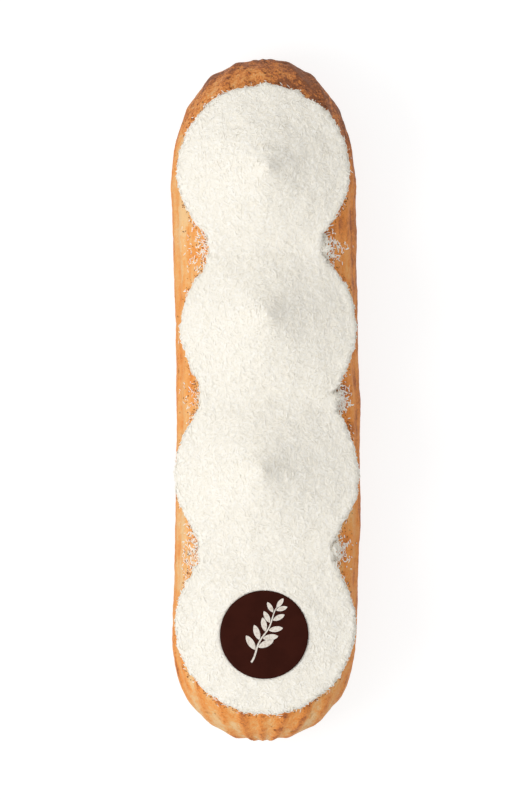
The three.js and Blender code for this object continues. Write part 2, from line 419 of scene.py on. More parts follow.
@dataclass(frozen=True)
class ChouxFinish:
    """Baked choux: pale golden grooves with painted shade along their bottoms, browner ridges, pits
    darkened with painted shade, dark specks and a fine dry grain.

    A weight says how much a pattern moves the colour towards brown; the groove shade weight paints shade
    that way. Spans of weights run from smooth to rough crust.
    """

    pale: Colour = (0.92, 0.59, 0.28)
    gold: Colour = (0.92, 0.44, 0.135)
    amber: Colour = (0.89, 0.31, 0.058)
    brown: Colour = (0.48, 0.14, 0.036)
    dark: Colour = (0.20, 0.06, 0.018)
    stops: tuple[float, ...] = (0.0, 0.22, 0.48, 0.76, 1.0)
    toast: Colour = (0.50, 0.19, 0.075)
    toast_share: float = 0.25
    patches: Grain = Grain(6.0, 3.0)
    patch_weight: Span = (0.8, 1.5)
    mottle: Grain = Grain(1.2, 4.0, 0.65)
    blotch_edge: Span = (0.36, 0.64)
    blotch_weight: Span = (0.1, 0.4)
    fine: Grain = Grain(0.4, 2.0, 0.6)
    fine_weight: Span = (0.5, 1.4)
    squeeze: Scale = (1.0, 0.16, 1.0)
    bands: Grain = Grain(2.6)
    band_weight: float = 0.5
    streaks: Grain = Grain(0.9, 3.0, 0.6)
    streak_weight: float = 0.45
    crest_weight: float = 0.5
    # The groove shade fields paint shade into the bottoms of the grooves between the ridges.
    groove_shade_weight: float = 0.26
    groove_shade_edge: Span = (0.42, 0.6)
    groove_shade_depth: Span = (0.5, 1.0)
    # The pit colour is painted shade in the burst pits of the mesh, and the crust's own dark colour in the
    # fine specks.
    pit: Colour = (0.15, 0.048, 0.016)
    pit_share: float = 0.6
    speck_spacing: float = 1.3
    speck_edge: Span = (0.1, 0.3)
    speckled: Grain = Grain(2.4)
    speckled_edge: Span = (0.66, 0.78)
    speckled_rough: float = 0.26
    mottle_rise: float = 0.65
    fine_rise: float = 0.3
    streak_rise: float = 0.2
    pit_fall: float = 0.6
    depth: float = 0.5
    roughness: Span = (0.5, 0.8)
    specular: float = 0.24

    def material(self) -> bpy.types.Material:
        """Makes the material.

        Returns:
            A material that reads the crest, groove, lines, bake, rough and pit attributes of the crust.
        """
        graph = Graph.material("baked_choux")
        places = graph.places()
        along = graph.places(self.squeeze)
        patches = graph.grain(places, self.patches)
        mottle = graph.grain(places, self.mottle)
        bands = graph.grain(along, self.bands)
        streaks = graph.grain(along, self.streaks)
        fine = graph.grain(places, self.fine)
        rough = graph.attribute("rough")
        lines = graph.attribute("lines")
        blotches = mottle.eased(*self.blotch_edge) - 0.5
        uneven = blend(self.patch_weight, rough) * (patches - 0.5)
        uneven += blend(self.blotch_weight, rough) * blotches
        lined = lines * (self.band_weight * (bands - 0.5) + self.streak_weight * (streaks - 0.5))
        gritty = blend(self.fine_weight, rough) * (fine - 0.5)
        # Painted shade: the groove mask darkens the bottoms of the grooves, where shade falls between the
        # ridges.
        painted_groove_shade = graph.attribute("groove") * blend(self.groove_shade_depth, patches.eased(*self.groove_shade_edge))
        ridged = self.crest_weight * graph.attribute("crest") + self.groove_shade_weight * lines * painted_groove_shade
        # The bake attribute brings in the painted shade on the right side and low on the sides.
        browning_and_shade = graph.attribute("bake_and_shade") + ridged + uneven + (lined + gritty)
        colours = (self.pale, self.gold, self.amber, self.brown, self.dark)
        baked = graph.ramp(browning_and_shade, list(zip(self.stops, colours)))
        crust = graph.mix(self.toast_share * rough, baked, self.toast)
        pits = self.pits(graph, places, rough)
        grainy = self.mottle_rise * mottle + self.fine_rise * fine + self.streak_rise * streaks
        return graph.finish(
            {
                "Base Color": graph.mix(pits * self.pit_share, crust, self.pit),
                "Roughness": blend(self.roughness, mottle),
                "Specular IOR Level": self.specular,
                "Normal": graph.bump(grainy - self.pit_fall * pits, self.depth),
            }
        )

    def pits(self, graph: Graph, places: Wire, rough: Wire) -> Wire:
        """Where the crust is darkened: by fine dark specks in places, and with painted shade in the burst
        bubbles of its mesh.

        Args:
            graph: The material's graph.
            places: Coordinates in metres.
            rough: How broken the crust is.

        Returns:
            0 on whole crust, 1 in a pit.
        """
        specks = 1.0 - graph.speckle(places, self.speck_spacing).eased(*self.speck_edge)
        speckled = graph.grain(places, self.speckled) + self.speckled_rough * rough
        return (specks * speckled.eased(*self.speckled_edge)).at_least(graph.attribute("pit"))


@dataclass(frozen=True)
class StrewnFinish:
    """Small dry pieces, each with a tint of its own between two colours, and a fine grain."""

    name: str
    first: Colour
    second: Colour
    grit: Grain
    roughness: Span
    specular: float
    grit_weight: float = 0.5

    def material(self) -> bpy.types.Material:
        """Makes the material.

        Returns:
            A dry material that reads each piece's tint.
        """
        graph = Graph.material(self.name)
        grit = graph.grain(graph.places(), self.grit)
        share = graph.attribute("tint") + self.grit_weight * (grit - 0.5)
        return graph.finish(
            {
                "Base Color": graph.mix(share, self.first, self.second),
                "Roughness": blend(self.roughness, grit),
                "Specular IOR Level": self.specular,
            }
        )


# Crumbs of crust; the dark ones are laid as painted shade along the cream's edge and between the fallen
# flakes.
CRUMBS_AND_EDGE_SHADE = StrewnFinish(
    name="crumbs_and_edge_shade",
    first=(0.18, 0.065, 0.026),
    second=(0.60, 0.22, 0.06),
    grit=Grain(0.2),
    roughness=(0.7, 0.9),
    specular=0.24,
)
WHITE_COCONUT = StrewnFinish(
    name="dried_coconut",
    first=(0.965, 0.92, 0.82),
    second=(0.975, 0.945, 0.875),
    grit=Grain(0.3),
    roughness=(0.45, 0.65),
    specular=0.4,
)


@dataclass(frozen=True)
class CreamFinish:
    """Whipped cream thick with the finest coconut meal, with painted shade in the low places of its grain.
    """

    lit: Colour = (0.97, 0.93, 0.84)
    # The hollow colour is painted shade where the meal that also raises the bump is low; the clots vary the
    # tone at random.
    hollow: Colour = (0.95, 0.905, 0.80)
    meal: Grain = Grain(0.55, 3.0, 0.6)
    clots: Grain = Grain(2.2)
    clot_share: float = 0.3
    hollow_edge: Span = (0.3, 0.6)
    roughness: Span = (0.62, 0.82)
    specular: float = 0.3
    depth: float = 0.3

    def material(self) -> bpy.types.Material:
        """Makes the material.

        Returns:
            An off-white material with a mealy surface.
        """
        graph = Graph.material("coconut_cream")
        places = graph.places()
        meal = graph.grain(places, self.meal)
        clots = graph.grain(places, self.clots)
        clump_tone_and_shade = (1.0 - self.clot_share) * meal + self.clot_share * clots
        return graph.finish(
            {
                "Base Color": graph.mix(clump_tone_and_shade.eased(*self.hollow_edge), self.hollow, self.lit),
                "Roughness": blend(self.roughness, meal),
                "Specular IOR Level": self.specular,
                "Normal": graph.bump(meal, self.depth),
            }
        )


@dataclass(frozen=True)
class ChocolateFinish:
    """Dark chocolate set against a smooth sheet: near black, satin, faintly clouded."""

    deep: Colour = (0.033, 0.0052, 0.002)
    clouded: Colour = (0.040, 0.0068, 0.003)
    clouds: Grain = Grain(3.5, 4.0, 0.6)
    cloud_edge: Span = (0.35, 0.65)
    cloud_rise: float = 0.3
    fine: Grain = Grain(0.4)
    roughness: Span = (0.45, 0.65)
    specular: float = 0.06
    depth: float = 0.02

    def material(self) -> bpy.types.Material:
        """Makes the material.

        Returns:
            A dark satin material.
        """
        graph = Graph.material("dark_chocolate")
        places = graph.places()
        clouds = graph.grain(places, self.clouds)
        fine = graph.grain(places, self.fine)
        relief = (1.0 - self.cloud_rise) * fine + self.cloud_rise * clouds
        return graph.finish(
            {
                "Base Color": graph.mix(clouds.eased(*self.cloud_edge), self.deep, self.clouded),
                "Roughness": blend(self.roughness, clouds),
                "Specular IOR Level": self.specular,
                "Normal": graph.bump(relief, self.depth),
            }
        )


@dataclass(frozen=True)
class PrintFinish:
    """Off-white cocoa butter print, thin enough for a trace of the dark ground to show."""

    solid: Colour = (0.80, 0.74, 0.66)
    thin: Colour = (0.62, 0.53, 0.45)
    wear: Grain = Grain(0.5, 3.0, 0.65)
    wear_edge: Span = (0.35, 0.55)
    roughness: Span = (0.5, 0.7)
    specular: float = 0.3

    def material(self) -> bpy.types.Material:
        """Makes the material.

        Returns:
            An off-white material, a little uneven.
        """
        graph = Graph.material("cocoa_butter_print")
        wear = graph.grain(graph.places(), self.wear)
        return graph.finish(
            {
                "Base Color": graph.mix(wear.eased(*self.wear_edge), self.thin, self.solid),
                "Roughness": blend(self.roughness, wear),
                "Specular IOR Level": self.specular,
            }
        )


@dataclass(frozen=True)
class FloorFinish:
    """White studio surface, lit from within so that shadows on it stay faint."""

    tone: float = 0.3
    glow: float = 0.78
    clouds: Grain = Grain(60.0)
    cloud_share: float = 0.02
    roughness: float = 0.9
    specular: float = 0.1

    def material(self) -> bpy.types.Material:
        """Makes the material.

        Returns:
            A white material that shines a little.
        """
        graph = Graph.material("white_surface")
        clouds = graph.grain(graph.places(), self.clouds)
        tone = (self.tone, self.tone, self.tone)
        return graph.finish(
            {
                "Base Color": graph.mix(self.cloud_share * clouds, tone, WHITE),
                "Roughness": self.roughness,
                "Specular IOR Level": self.specular,
                "Emission Color": (*WHITE, 1.0),
                "Emission Strength": self.glow,
            }
        )


# Meshes


def mesh_from(bm: bmesh.types.BMesh, name: str, smooth: bool = True) -> bpy.types.Mesh:
    """Turns a bmesh into a mesh and frees it.

    Args:
        bm: The bmesh, in millimetres.
        name: Name of the mesh.
        smooth: Whether its faces are shaded smoothly.

    Returns:
        The mesh, still in millimetres.
    """
    for face in bm.faces:
        face.smooth = smooth
    mesh = bpy.data.meshes.new(name)
    bm.to_mesh(mesh)
    bm.free()
    return mesh


def move_points(bm: bmesh.types.BMesh, places: Array) -> None:
    """Moves every vertex of a bmesh.

    Args:
        bm: The bmesh.
        places: One row of x, y and z for each vertex, in order.
    """
    for vert, place in zip(bm.verts, places.tolist()):
        vert.co = place


def store(mesh: bpy.types.Mesh, name: str, values: Array) -> None:
    """Stores one number for each point of a mesh.

    Args:
        mesh: The mesh.
        name: Name of the attribute.
        values: The numbers, in the order of the points.
    """
    attribute = mesh.attributes.new(name, "FLOAT", "POINT")
    attribute.data.foreach_set("value", values.astype(np.float32))


def add_piece(
    mesh: bpy.types.Mesh, finish: bpy.types.Material, nodes: Iterable[str] = ()
) -> bpy.types.Object:
    """Makes a piece of the eclair from a mesh in millimetres.

    Args:
        mesh: Its mesh, which is turned to metres and gives the piece its name.
        finish: Its material.
        nodes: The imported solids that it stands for.

    Returns:
        The piece.
    """
    mesh.transform(Matrix.Scale(MM, 4))
    mesh.materials.append(finish)
    piece = bpy.data.objects.new(mesh.name, mesh)
    bpy.context.scene.collection.objects.link(piece)
    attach(piece, BODY)
    if nodes:
        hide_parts(*nodes)
    return piece


# Choux pastry


@dataclass(frozen=True)
class Baking:
    """How the oven browns and breaks the crust, from changes along, across and up the finger, with painted
    shade on the right side and low on the sides.
    """

    rough_far: Change = Change(50.0, 68.0)
    rough_near: Change = Change(-56.0, -70.0, 0.0, 0.25)
    rough_up: Change = Change(2.0, 14.8, 0.4, 1.0)
    lines_up: Change = Change(10.0, 20.0, 0.3, 1.0)
    least_streaks: float = 0.2
    streaks_near: Change = Change(-52.0, -64.0)
    streaks_up: Change = Change(7.8, 20.8, 0.4, 1.1)
    least_brown: float = 0.12
    far_brown: Change = Change(38.0, 71.0, 0.0, 0.7)
    far_brown_across: Change = Change(-15.0, 6.0, 0.42, 1.0)
    near_brown: Change = Change(-52.0, -66.0, 0.0, -0.14)
    # Painted shade: the right side, away from the key light, is darkened and made more orange, less so
    # towards the near end.
    right_shade: Change = Change(0.0, 50.0, 0.2, 0.32)
    right_shade_across: Change = Change(-5.0, 15.0)
    right_shade_near: Change = Change(-40.0, -62.0, 1.0, 0.0)
    # Painted shade: the low sides, which turn away under the waist, are darkened.
    low_side_shade: Change = Change(12.0, 21.0, 0.2, 0.0)
    brown_up: Change = Change(2.0, 14.8, 0.35, 1.0)
    brown_patches: Lumps = Lumps(0.14, 14.0, 2.2)
    golden_patch: tuple[float, float] = (-2.1, 70.8)
    golden_size: float = 3.4
    golden_fade: float = 0.25

    def rough(self, points: Array) -> Array:
        """How broken the crust is.

        Args:
            points: Places on the smooth form.

        Returns:
            0 along the smoother sides, 1 over the far end.
        """
        _, y, z = points.T
        return np.maximum(self.rough_far.at(y), self.rough_near.at(y)) * self.rough_up.at(z)

    def lines(self, points: Array) -> Array:
        """How clearly fine lines run along the unbroken crust, from 0 to 1."""
        return (1.0 - self.rough(points)) * self.lines_up.at(points[:, 2])

    def streaks(self, points: Array) -> Array:
        """How much darker the ridges are than what lies between them.

        Args:
            points: Places on the smooth form.

        Returns:
            Most on the upper side of the near end, little elsewhere.
        """
        _, y, z = points.T
        return self.least_streaks + self.streaks_near.at(y) * self.streaks_up.at(z)

    def brown(self, points: Array) -> Array:
        """How brown the crust is, ridges aside, with painted shade on the right side and low on the sides.

        Args:
            points: Places on the smooth form.

        Returns:
            0 for pale, 1 for dark.
        """
        x, y, z = points.T
        gold_x, gold_y = self.golden_patch
        golden = np.exp(-((x - gold_x) ** 2 + (y - gold_y) ** 2) / self.golden_size**2)
        far = self.far_brown.at(y) * self.far_brown_across.at(x) - self.golden_fade * golden
        # The right term and the low-side term are painted shade; the far end, the golden patch and the
        # patches are the crust's own browning.
        right = self.right_shade.at(y) * self.right_shade_across.at(x) * self.right_shade_near.at(y)
        brown_and_shade = np.maximum(far, right) + self.low_side_shade.at(z) + self.brown_patches.at(points)
        return self.least_brown + self.near_brown.at(y) + brown_and_shade * self.brown_up.at(z)


@dataclass
class ChouxFinger:
    """The baked finger: a rounded bar with a flat base and piped ridges that run on over its ends."""

    length: float = 150.0
    half_width: float = 19.9
    height: float = 28.0
    waist: float = 11.8
    belly: float = 14.4
    far_cap: float = 29.6
    near_cap: float = 22.7
    cap_power: float = 2.22
    crown_cap_power: float = 2.4
    belly_cap_power: float = 4.0
    crown_power: float = 2.5
    belly_power: float = 2.5
    sway: Wave = Wave(size=0.64, period=148.0, crest=-8.6)
    swell: Wave = Wave(size=0.14, period=86.0, crest=-27.0)
    ridges: int = 24
    ridge_height: float = 0.4
    ridge_sharpness: float = 1.5
    ridge_strength: float = 0.8
    ridge_limit: float = 1.2
    ridge_unevenness: Lumps = Lumps(0.5, 11.0, 8.1)
    ridge_wander: Lumps = Lumps(0.05, 14.0, 3.7)
    ridge_gather: float = 0.5
    groove_sharpness: float = 3.0
    side_lift: Span = (0.35, 0.75)
    side_fullness: Span = (0.75, 0.95)
    swellings: Lumps = Lumps(0.24, 6.0, 1.3)
    blisters: Lumps = Lumps(0.24, 2.6, 5.9)
    blister_share: Span = (0.4, 1.0)
    crackle: Lumps = Lumps(0.09, 1.1, 9.4)
    pit_spacing: float = 3.4
    pit_radius: float = 0.75
    pit_depth: float = 0.4
    pit_share: float = 0.3
    pit_shuffle: float = 7.0
    # How strongly painted shade darkens the burst pits.
    pit_shade_strength: float = 1.4
    base_clear: Span = (0.3, 2.5)
    baking: Baking = Baking()
    finish: ChouxFinish = ChouxFinish()
    columns: int = 320
    rows: int = 270
    far_rows: float = 0.22
    near_rows: float = 0.19

    @property
    def half_length(self) -> float:
        """Half the length of the finger without its ridges."""
        return self.length / 2.0 - self.ridge_height

    def into_cap(self, y: Array) -> Array:
        """How far a section lies into a rounded end.

        Args:
            y: Stations along.

        Returns:
            0 along the middle, 1 at a tip.
        """
        far = (y - self.half_length + self.far_cap) / self.far_cap
        near = (-y - self.half_length + self.near_cap) / self.near_cap
        return np.clip(np.maximum(far, near), 0.0, 1.0)

    def middle(self, y: Array) -> Array:
        """Sideways place of the middle line at stations y."""
        return self.sway.at(y)

    def fullness(self, y: Array) -> Array:
        """Share of the full width that the plan has at stations y."""
        return squircle(self.into_cap(y), self.cap_power)

    def half_span(self, y: Array) -> Array:
        """Half the width at stations y."""
        return (self.half_width + self.swell.at(y)) * self.fullness(y)

    def crown(self, y: Array) -> Array:
        """Height of the top over the waist at stations y."""
        return (self.height - self.waist) * squircle(self.into_cap(y), self.crown_cap_power)

    def sag(self, y: Array) -> Array:
        """Depth of the uncut belly under the waist at stations y."""
        return self.belly * squircle(self.into_cap(y), self.belly_cap_power)

    def top(self, x: Array, y: Array) -> Array:
        """Height of the smooth upper side.

        Args:
            x: Places across.
            y: Stations along.

        Returns:
            The height at each place, down to the waist.
        """
        across = np.minimum(1.0, np.abs(x - self.middle(y)) / np.maximum(self.half_span(y), TINY))
        return self.waist + self.crown(y) * squircle(across, self.crown_power)

    def station(self, share: Array) -> Array:
        """Station of a row of points.

        Args:
            share: Place of the row, from 0 at the far tip to 1 at the near one.

        Returns:
            The stations, set closer together round the ends.
        """
        far_foot = self.half_length - self.far_cap
        near_foot = self.near_cap - self.half_length
        quarter = math.pi / 2.0
        far = far_foot + self.far_cap * np.cos(quarter * share / self.far_rows)
        near = near_foot - self.near_cap * np.cos(quarter * (1.0 - share) / self.near_rows)
        straight = np.interp(share, [self.far_rows, 1.0 - self.near_rows], [far_foot, near_foot])
        ends = np.where(share < self.far_rows, far, near)
        return np.where((share >= self.far_rows) & (share <= 1.0 - self.near_rows), straight, ends)

    def section(self, angle: Array) -> tuple[Array, Array, Array]:
        """The section, drawn one unit wide and high.

        Args:
            angle: Angles round it, from +X towards +Z.

        Returns:
            Its squareness, and the places across and up at each angle.
        """
        side, up = np.cos(angle), np.sin(angle)
        power = np.where(up >= 0.0, self.crown_power, self.belly_power)
        radius = (np.abs(side) ** power + np.abs(up) ** power) ** (-1.0 / power)
        return power, side * radius, up * radius

    def smooth_form(self, y: Array, angle: Array) -> tuple[Array, Array]:
        """The finger without relief.

        Args:
            y: Stations along.
            angle: Angles round the section.

        Returns:
            Points and outward directions.
        """
        _, across, lift = self.section(angle)
        fullness = self.fullness(y)
        height = self.waist + lift * np.where(lift >= 0.0, self.crown(y), self.sag(y))
        points = np.column_stack([self.middle(y) + across * self.half_span(y), y, height])
        endwise = self.into_cap(y) * self.half_width / np.where(y > 0.0, self.far_cap, -self.near_cap)
        outward = np.column_stack([np.cos(angle) * fullness, endwise, np.sin(angle) * fullness])
        return points, unit(outward)

    def tooth(self, across: Array, power: Array, wander: Array) -> Array:
        """Height of the ridges where the section is crossed at a share of its half width.

        Args:
            across: That share.
            power: Squareness of the section.
            wander: Turn by which each place is shifted round the section.

        Returns:
            0 in a groove, 1 on a ridge.
        """
        turned = np.arctan2(squircle(across, power), across) + wander
        return 0.5 + 0.5 * np.cos(self.ridges * (turned - math.pi / 2.0))

    def ridge(self, y: Array, angle: Array, wander: Array) -> Array:
        """Ridges: those on top run on over the ends, and those along the sides end at the corners.

        Args:
            y: Stations along.
            angle: Angles round the section.
            wander: Turn by which the ridges stray.

        Returns:
            0 in a groove, 1 on a ridge.
        """
        power, across, lift = self.section(angle)
        fullness = self.fullness(y)
        over_ends = self.tooth(across * fullness ** (1.0 - self.ridge_gather), power, wander)
        along_side = self.tooth(across, power, wander)
        low = 1.0 - smooth_step(*self.side_lift, np.abs(lift))
        return over_ends + (along_side - over_ends) * low * smooth_step(*self.side_fullness, fullness)

    def pits(self, points: Array) -> Array:
        """Small burst bubbles strewn over the crust.

        Args:
            points: Places on the crust.

        Returns:
            1 in the middle of a pit, 0 outside.
        """
        depths = []
        for place in (points / self.pit_spacing).tolist():
            distances, centres = noise.voronoi(place)
            burst = noise.cell(centres[0] * self.pit_shuffle) < 2.0 * self.pit_share - 1.0
            away = distances[0] * self.pit_spacing / self.pit_radius
            depths.append(max(0.0, 1.0 - away) if burst else 0.0)
        return np.array(depths)

    def build(self) -> bpy.types.Mesh:
        """Makes the crust.

        Returns:
            A closed mesh with crest, groove, lines, bake, rough and pit attributes.
        """
        bm = bmesh.new()
        bmesh.ops.create_uvsphere(bm, u_segments=self.columns, v_segments=self.rows, radius=1.0)
        sphere = np.array([vert.co for vert in bm.verts])
        y = self.station(np.arccos(np.clip(sphere[:, 2], -1.0, 1.0)) / math.pi)
        angle = -np.arctan2(sphere[:, 1], sphere[:, 0])
        points, outward = self.smooth_form(y, angle)
        tooth = self.ridge(y, angle, self.ridge_wander.at(points))
        strength = self.ridge_strength + self.ridge_unevenness.at(points)
        crest = np.clip(tooth**self.ridge_sharpness * strength, 0.0, self.ridge_limit)
        rough = self.baking.rough(points)
        free = smooth_step(*self.base_clear, points[:, 2])
        pit = self.pits(points) * free
        lumps = self.swellings.at(points) + blend(self.blister_share, rough) * self.blisters.at(points)
        relief = lumps + self.crackle.at(points) - self.pit_depth * pit
        rise = self.ridge_height * crest + free * relief
        places = points + outward * rise[:, None]
        places[:, 2] = np.maximum(0.0, places[:, 2])
        move_points(bm, places)
        mesh = mesh_from(bm, "choux_crust")
        store(mesh, "crest", tooth * strength * self.baking.streaks(points))
        store(mesh, "groove", (1.0 - tooth) ** self.groove_sharpness)
        store(mesh, "lines", self.baking.lines(points))
        # This attribute carries browning together with painted shade on the right side and low on the
        # sides.
        store(mesh, "bake_and_shade", self.baking.brown(points))
        store(mesh, "rough", rough)
        # Painted shade: how much the pit colour darkens each burst pit.
        store(mesh, "pit", np.clip(self.pit_shade_strength * pit, 0.0, 1.0))
        return mesh

    def dress(self) -> bpy.types.Object:
        """Makes the crust's piece."""
        return add_piece(self.build(), self.finish.material(), ["choux_finger"])


# Chocolate round


@dataclass
class ChocolateRound:
    """A thin disc of chocolate set in the last dollop."""

    node: str = "chocolate_round"
    thickness: float = 1.1
    edge: float = 0.28
    tilt: float = math.radians(1.5)
    rise: float = 29.8
    segments: int = 128
    rings: int = 8
    edge_steps: int = 4
    weld: float = 1e-4
    warp: Lumps = Lumps(0.04, 7.0, 4.4)
    finish: ChocolateFinish = ChocolateFinish()
    x: float = field(init=False)
    y: float = field(init=False)
    radius: float = field(init=False)

    def __post_init__(self) -> None:
        """Reads the disc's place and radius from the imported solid."""
        low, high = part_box(self.node)
        self.x = (low.x + high.x) / 2.0 / MM
        self.y = (low.y + high.y) / 2.0 / MM
        self.radius = (high.x - low.x) / 2.0 / MM

    @property
    def place(self) -> Matrix:
        """The disc's place: its own frame has the origin under its middle."""
        return Matrix.Translation((self.x, self.y, self.rise)) @ Matrix.Rotation(self.tilt, 4, "X")

    def floor(self, y: Array) -> Array:
        """Height of the disc's underside at stations y."""
        return self.rise + math.tan(self.tilt) * (y - self.y)

    def profile(self) -> list[Vector]:
        """Draws half the section.

        Returns:
            Points from the middle of the underside round the rim to the middle of the top.
        """
        rings = [self.radius * share / self.rings for share in range(self.rings)]
        under = [Vector((r, 0.0, 0.0)) for r in rings if r < self.radius - self.edge]
        over = [Vector((v.x, 0.0, self.thickness)) for v in reversed(under)]
        rim = []
        for low, start in ((self.edge, -90.0), (self.thickness - self.edge, 0.0)):
            for step in range(self.edge_steps + 1):
                turn = math.radians(start + 90.0 * step / self.edge_steps)
                out = self.radius - self.edge + self.edge * math.cos(turn)
                rim.append(Vector((out, 0.0, low + self.edge * math.sin(turn))))
        return under + rim + over

    def build(self) -> bpy.types.Mesh:
        """Makes the disc.

        Returns:
            A closed mesh, very slightly warped.
        """
        bm = bmesh.new()
        verts = [bm.verts.new(place) for place in self.profile()]
        edges = [bm.edges.new(pair) for pair in zip(verts, verts[1:])]
        bmesh.ops.spin(
            bm,
            geom=[*verts, *edges],
            cent=(0.0, 0.0, 0.0),
            axis=(0.0, 0.0, 1.0),
            dvec=(0.0, 0.0, 0.0),
            angle=2.0 * math.pi,
            steps=self.segments,
            use_merge=True,
        )
        bmesh.ops.remove_doubles(bm, verts=bm.verts, dist=self.weld)
        bmesh.ops.recalc_face_normals(bm, faces=bm.faces)
        points = np.array([vert.co for vert in bm.verts])
        flat = np.column_stack([points[:, :2], np.zeros(len(points))])
        points[:, 2] += self.warp.at(flat)
        move_points(bm, points)
        bmesh.ops.transform(bm, matrix=self.place, verts=bm.verts)
        return mesh_from(bm, "chocolate_disc")

    def dress(self) -> bpy.types.Object:
        """Makes the disc's piece."""
        return add_piece(self.build(), self.finish.material(), [self.node])


@dataclass
class PrintedSprig:
    """A curved stem with paired leaves, printed in a thin layer on the disc."""

    disc: ChocolateRound
    layer: float = 0.05
    lift: float = 0.02
    stem_length: float = 13.0
    stem_width: float = 0.42
    stem_top: float = 0.55
    stem_bow: float = 1.5
    stem_steps: int = 24
    turn_step: float = 0.01
    pairs: int = 5
    leaf_feet: Span = (0.2, 0.88)
    leaf_stagger: float = 0.05
    top_leaf: float = 0.99
    leaf_sizes_at: Span = (0.2, 0.9)
    leaf_length: Span = (3.7, 2.5)
    leaf_width: Span = (1.45, 1.0)
    leaf_spread: float = math.radians(48.0)
    leaf_gap: float = 0.44
    leaf_fullness: float = 0.25
    leaf_points: int = 28
    heading: float = math.radians(52.0)
    finish: PrintFinish = PrintFinish()

    def stem_point(self, share: float) -> Vector:
        """A point of the stem's middle line, from 0 at its foot to 1 at its top."""
        along = (share - 0.5) * self.stem_length
        return Vector((along, self.stem_bow * math.sin(math.pi * (share - 0.5)) ** 3, 0.0))

    def stem_turn(self, share: float) -> float:
        """Direction of the stem at a share of its length."""
        step = self.stem_point(share + self.turn_step) - self.stem_point(share - self.turn_step)
        return math.atan2(step.y, step.x)

    def add_leaf(self, bm: bmesh.types.BMesh, share: float, spread: float, size: Span) -> None:
        """Adds one pointed leaf.

        Args:
            bm: The bmesh of the whole print.
            share: Place of the leaf's foot along the stem.
            spread: Angle between leaf and stem.
            size: The leaf's length and its greatest width.
        """
        length, width = size
        made = bmesh.ops.create_circle(bm, cap_ends=True, segments=self.leaf_points, radius=1.0)
        turn = Matrix.Rotation(self.stem_turn(share) + spread, 4, "Z")
        foot = self.stem_point(share)
        for vert in made["verts"]:
            across = vert.co.y * (1.0 - vert.co.x**2) ** self.leaf_fullness
            along = (vert.co.x + 1.0) / 2.0 * length + self.leaf_gap * abs(math.sin(spread))
            vert.co = foot + turn @ Vector((along, across * width / 2.0, 0.0))

    def build(self) -> bpy.types.Mesh:
        """Makes the print.

        Returns:
            A thin closed mesh that lies on the disc.
        """
        bm = bmesh.new()
        stem = bmesh.ops.create_grid(bm, x_segments=self.stem_steps, y_segments=1, size=0.5)
        for vert in stem["verts"]:
            share = vert.co.x + 0.5
            width = self.stem_width * blend((1.0, self.stem_top), share)
            side = Matrix.Rotation(self.stem_turn(share), 4, "Z") @ Vector((0.0, vert.co.y, 0.0))
            vert.co = self.stem_point(share) + side * width
        for pair in range(self.pairs):
            share = blend(self.leaf_feet, pair / (self.pairs - 1))
            spans = (self.leaf_length, self.leaf_width)
            length, width = (float(np.interp(share, self.leaf_sizes_at, span)) for span in spans)
            self.add_leaf(bm, share, self.leaf_spread, (length, width))
            self.add_leaf(bm, share + self.leaf_stagger, -self.leaf_spread, (length, width))
        self.add_leaf(bm, self.top_leaf, 0.0, (self.leaf_length[1], self.leaf_width[1]))
        walls = bmesh.ops.extrude_face_region(bm, geom=list(bm.faces))
        raised = [item for item in walls["geom"] if isinstance(item, bmesh.types.BMVert)]
        bmesh.ops.translate(bm, vec=(0.0, 0.0, self.layer), verts=raised)
        bmesh.ops.recalc_face_normals(bm, faces=bm.faces)
        on_top = Matrix.Translation((0.0, 0.0, self.disc.thickness + self.lift))
        place = self.disc.place @ on_top @ Matrix.Rotation(self.heading, 4, "Z")
        bmesh.ops.transform(bm, matrix=place, verts=bm.verts)
        return mesh_from(bm, "printed_sprig", smooth=False)

    def dress(self) -> bpy.types.Object:
        """Makes the print's piece."""
        return add_piece(self.build(), self.finish.material())


# Cream


@dataclass(frozen=True)
class Dollop:
    """One piped dollop: centre in plan, radius, rise over the rim and place of the pulled-up tip."""

    x: float
    y: float
    radius: float
    rise: float
    tip: tuple[float, float] | None

    @property
    def centre(self) -> tuple[float, float]:
        """Where the dollop's rings of points are centred."""
        return self.tip or (self.x, self.y)

    def out_share(self, x: Array, y: Array) -> Array:
        """How far out places lie on the way from the dollop's top to its round outline.

        Args:
            x: Places across.
            y: Stations along.

        Returns:
            0 at the top, 1 at the outline, more outside.
        """
        top_x, top_y = self.centre
        way_x, way_y = x - top_x, y - top_y
        shift_x, shift_y = top_x - self.x, top_y - self.y
        along = shift_x * way_x + shift_y * way_y
        far = way_x**2 + way_y**2
        root = np.sqrt(along**2 + far * (self.radius**2 - shift_x**2 - shift_y**2))
        return far / np.maximum(root - along, TINY)


@dataclass(frozen=True)
class DollopGrid:
    """How the points of a dollop's mesh lie on spokes over its top, down its side and back under it.

    The arrays after the centre have one row for each point. The way down is 0 at the top, 1 at the edge
    and 2 under the middle. The curve is the turn of the side below the edge.
    """

    centre: Array
    ahead: Array
    reach: Array
    at_neck: Array
    down: Array
    upper: Array
    curve: Array
    below: Array

    def plan(self, distance: Array) -> Array:
        """Rows of x and of y at a distance from the centre along each point's spoke."""
        return (self.centre + self.ahead * distance[:, None]).T


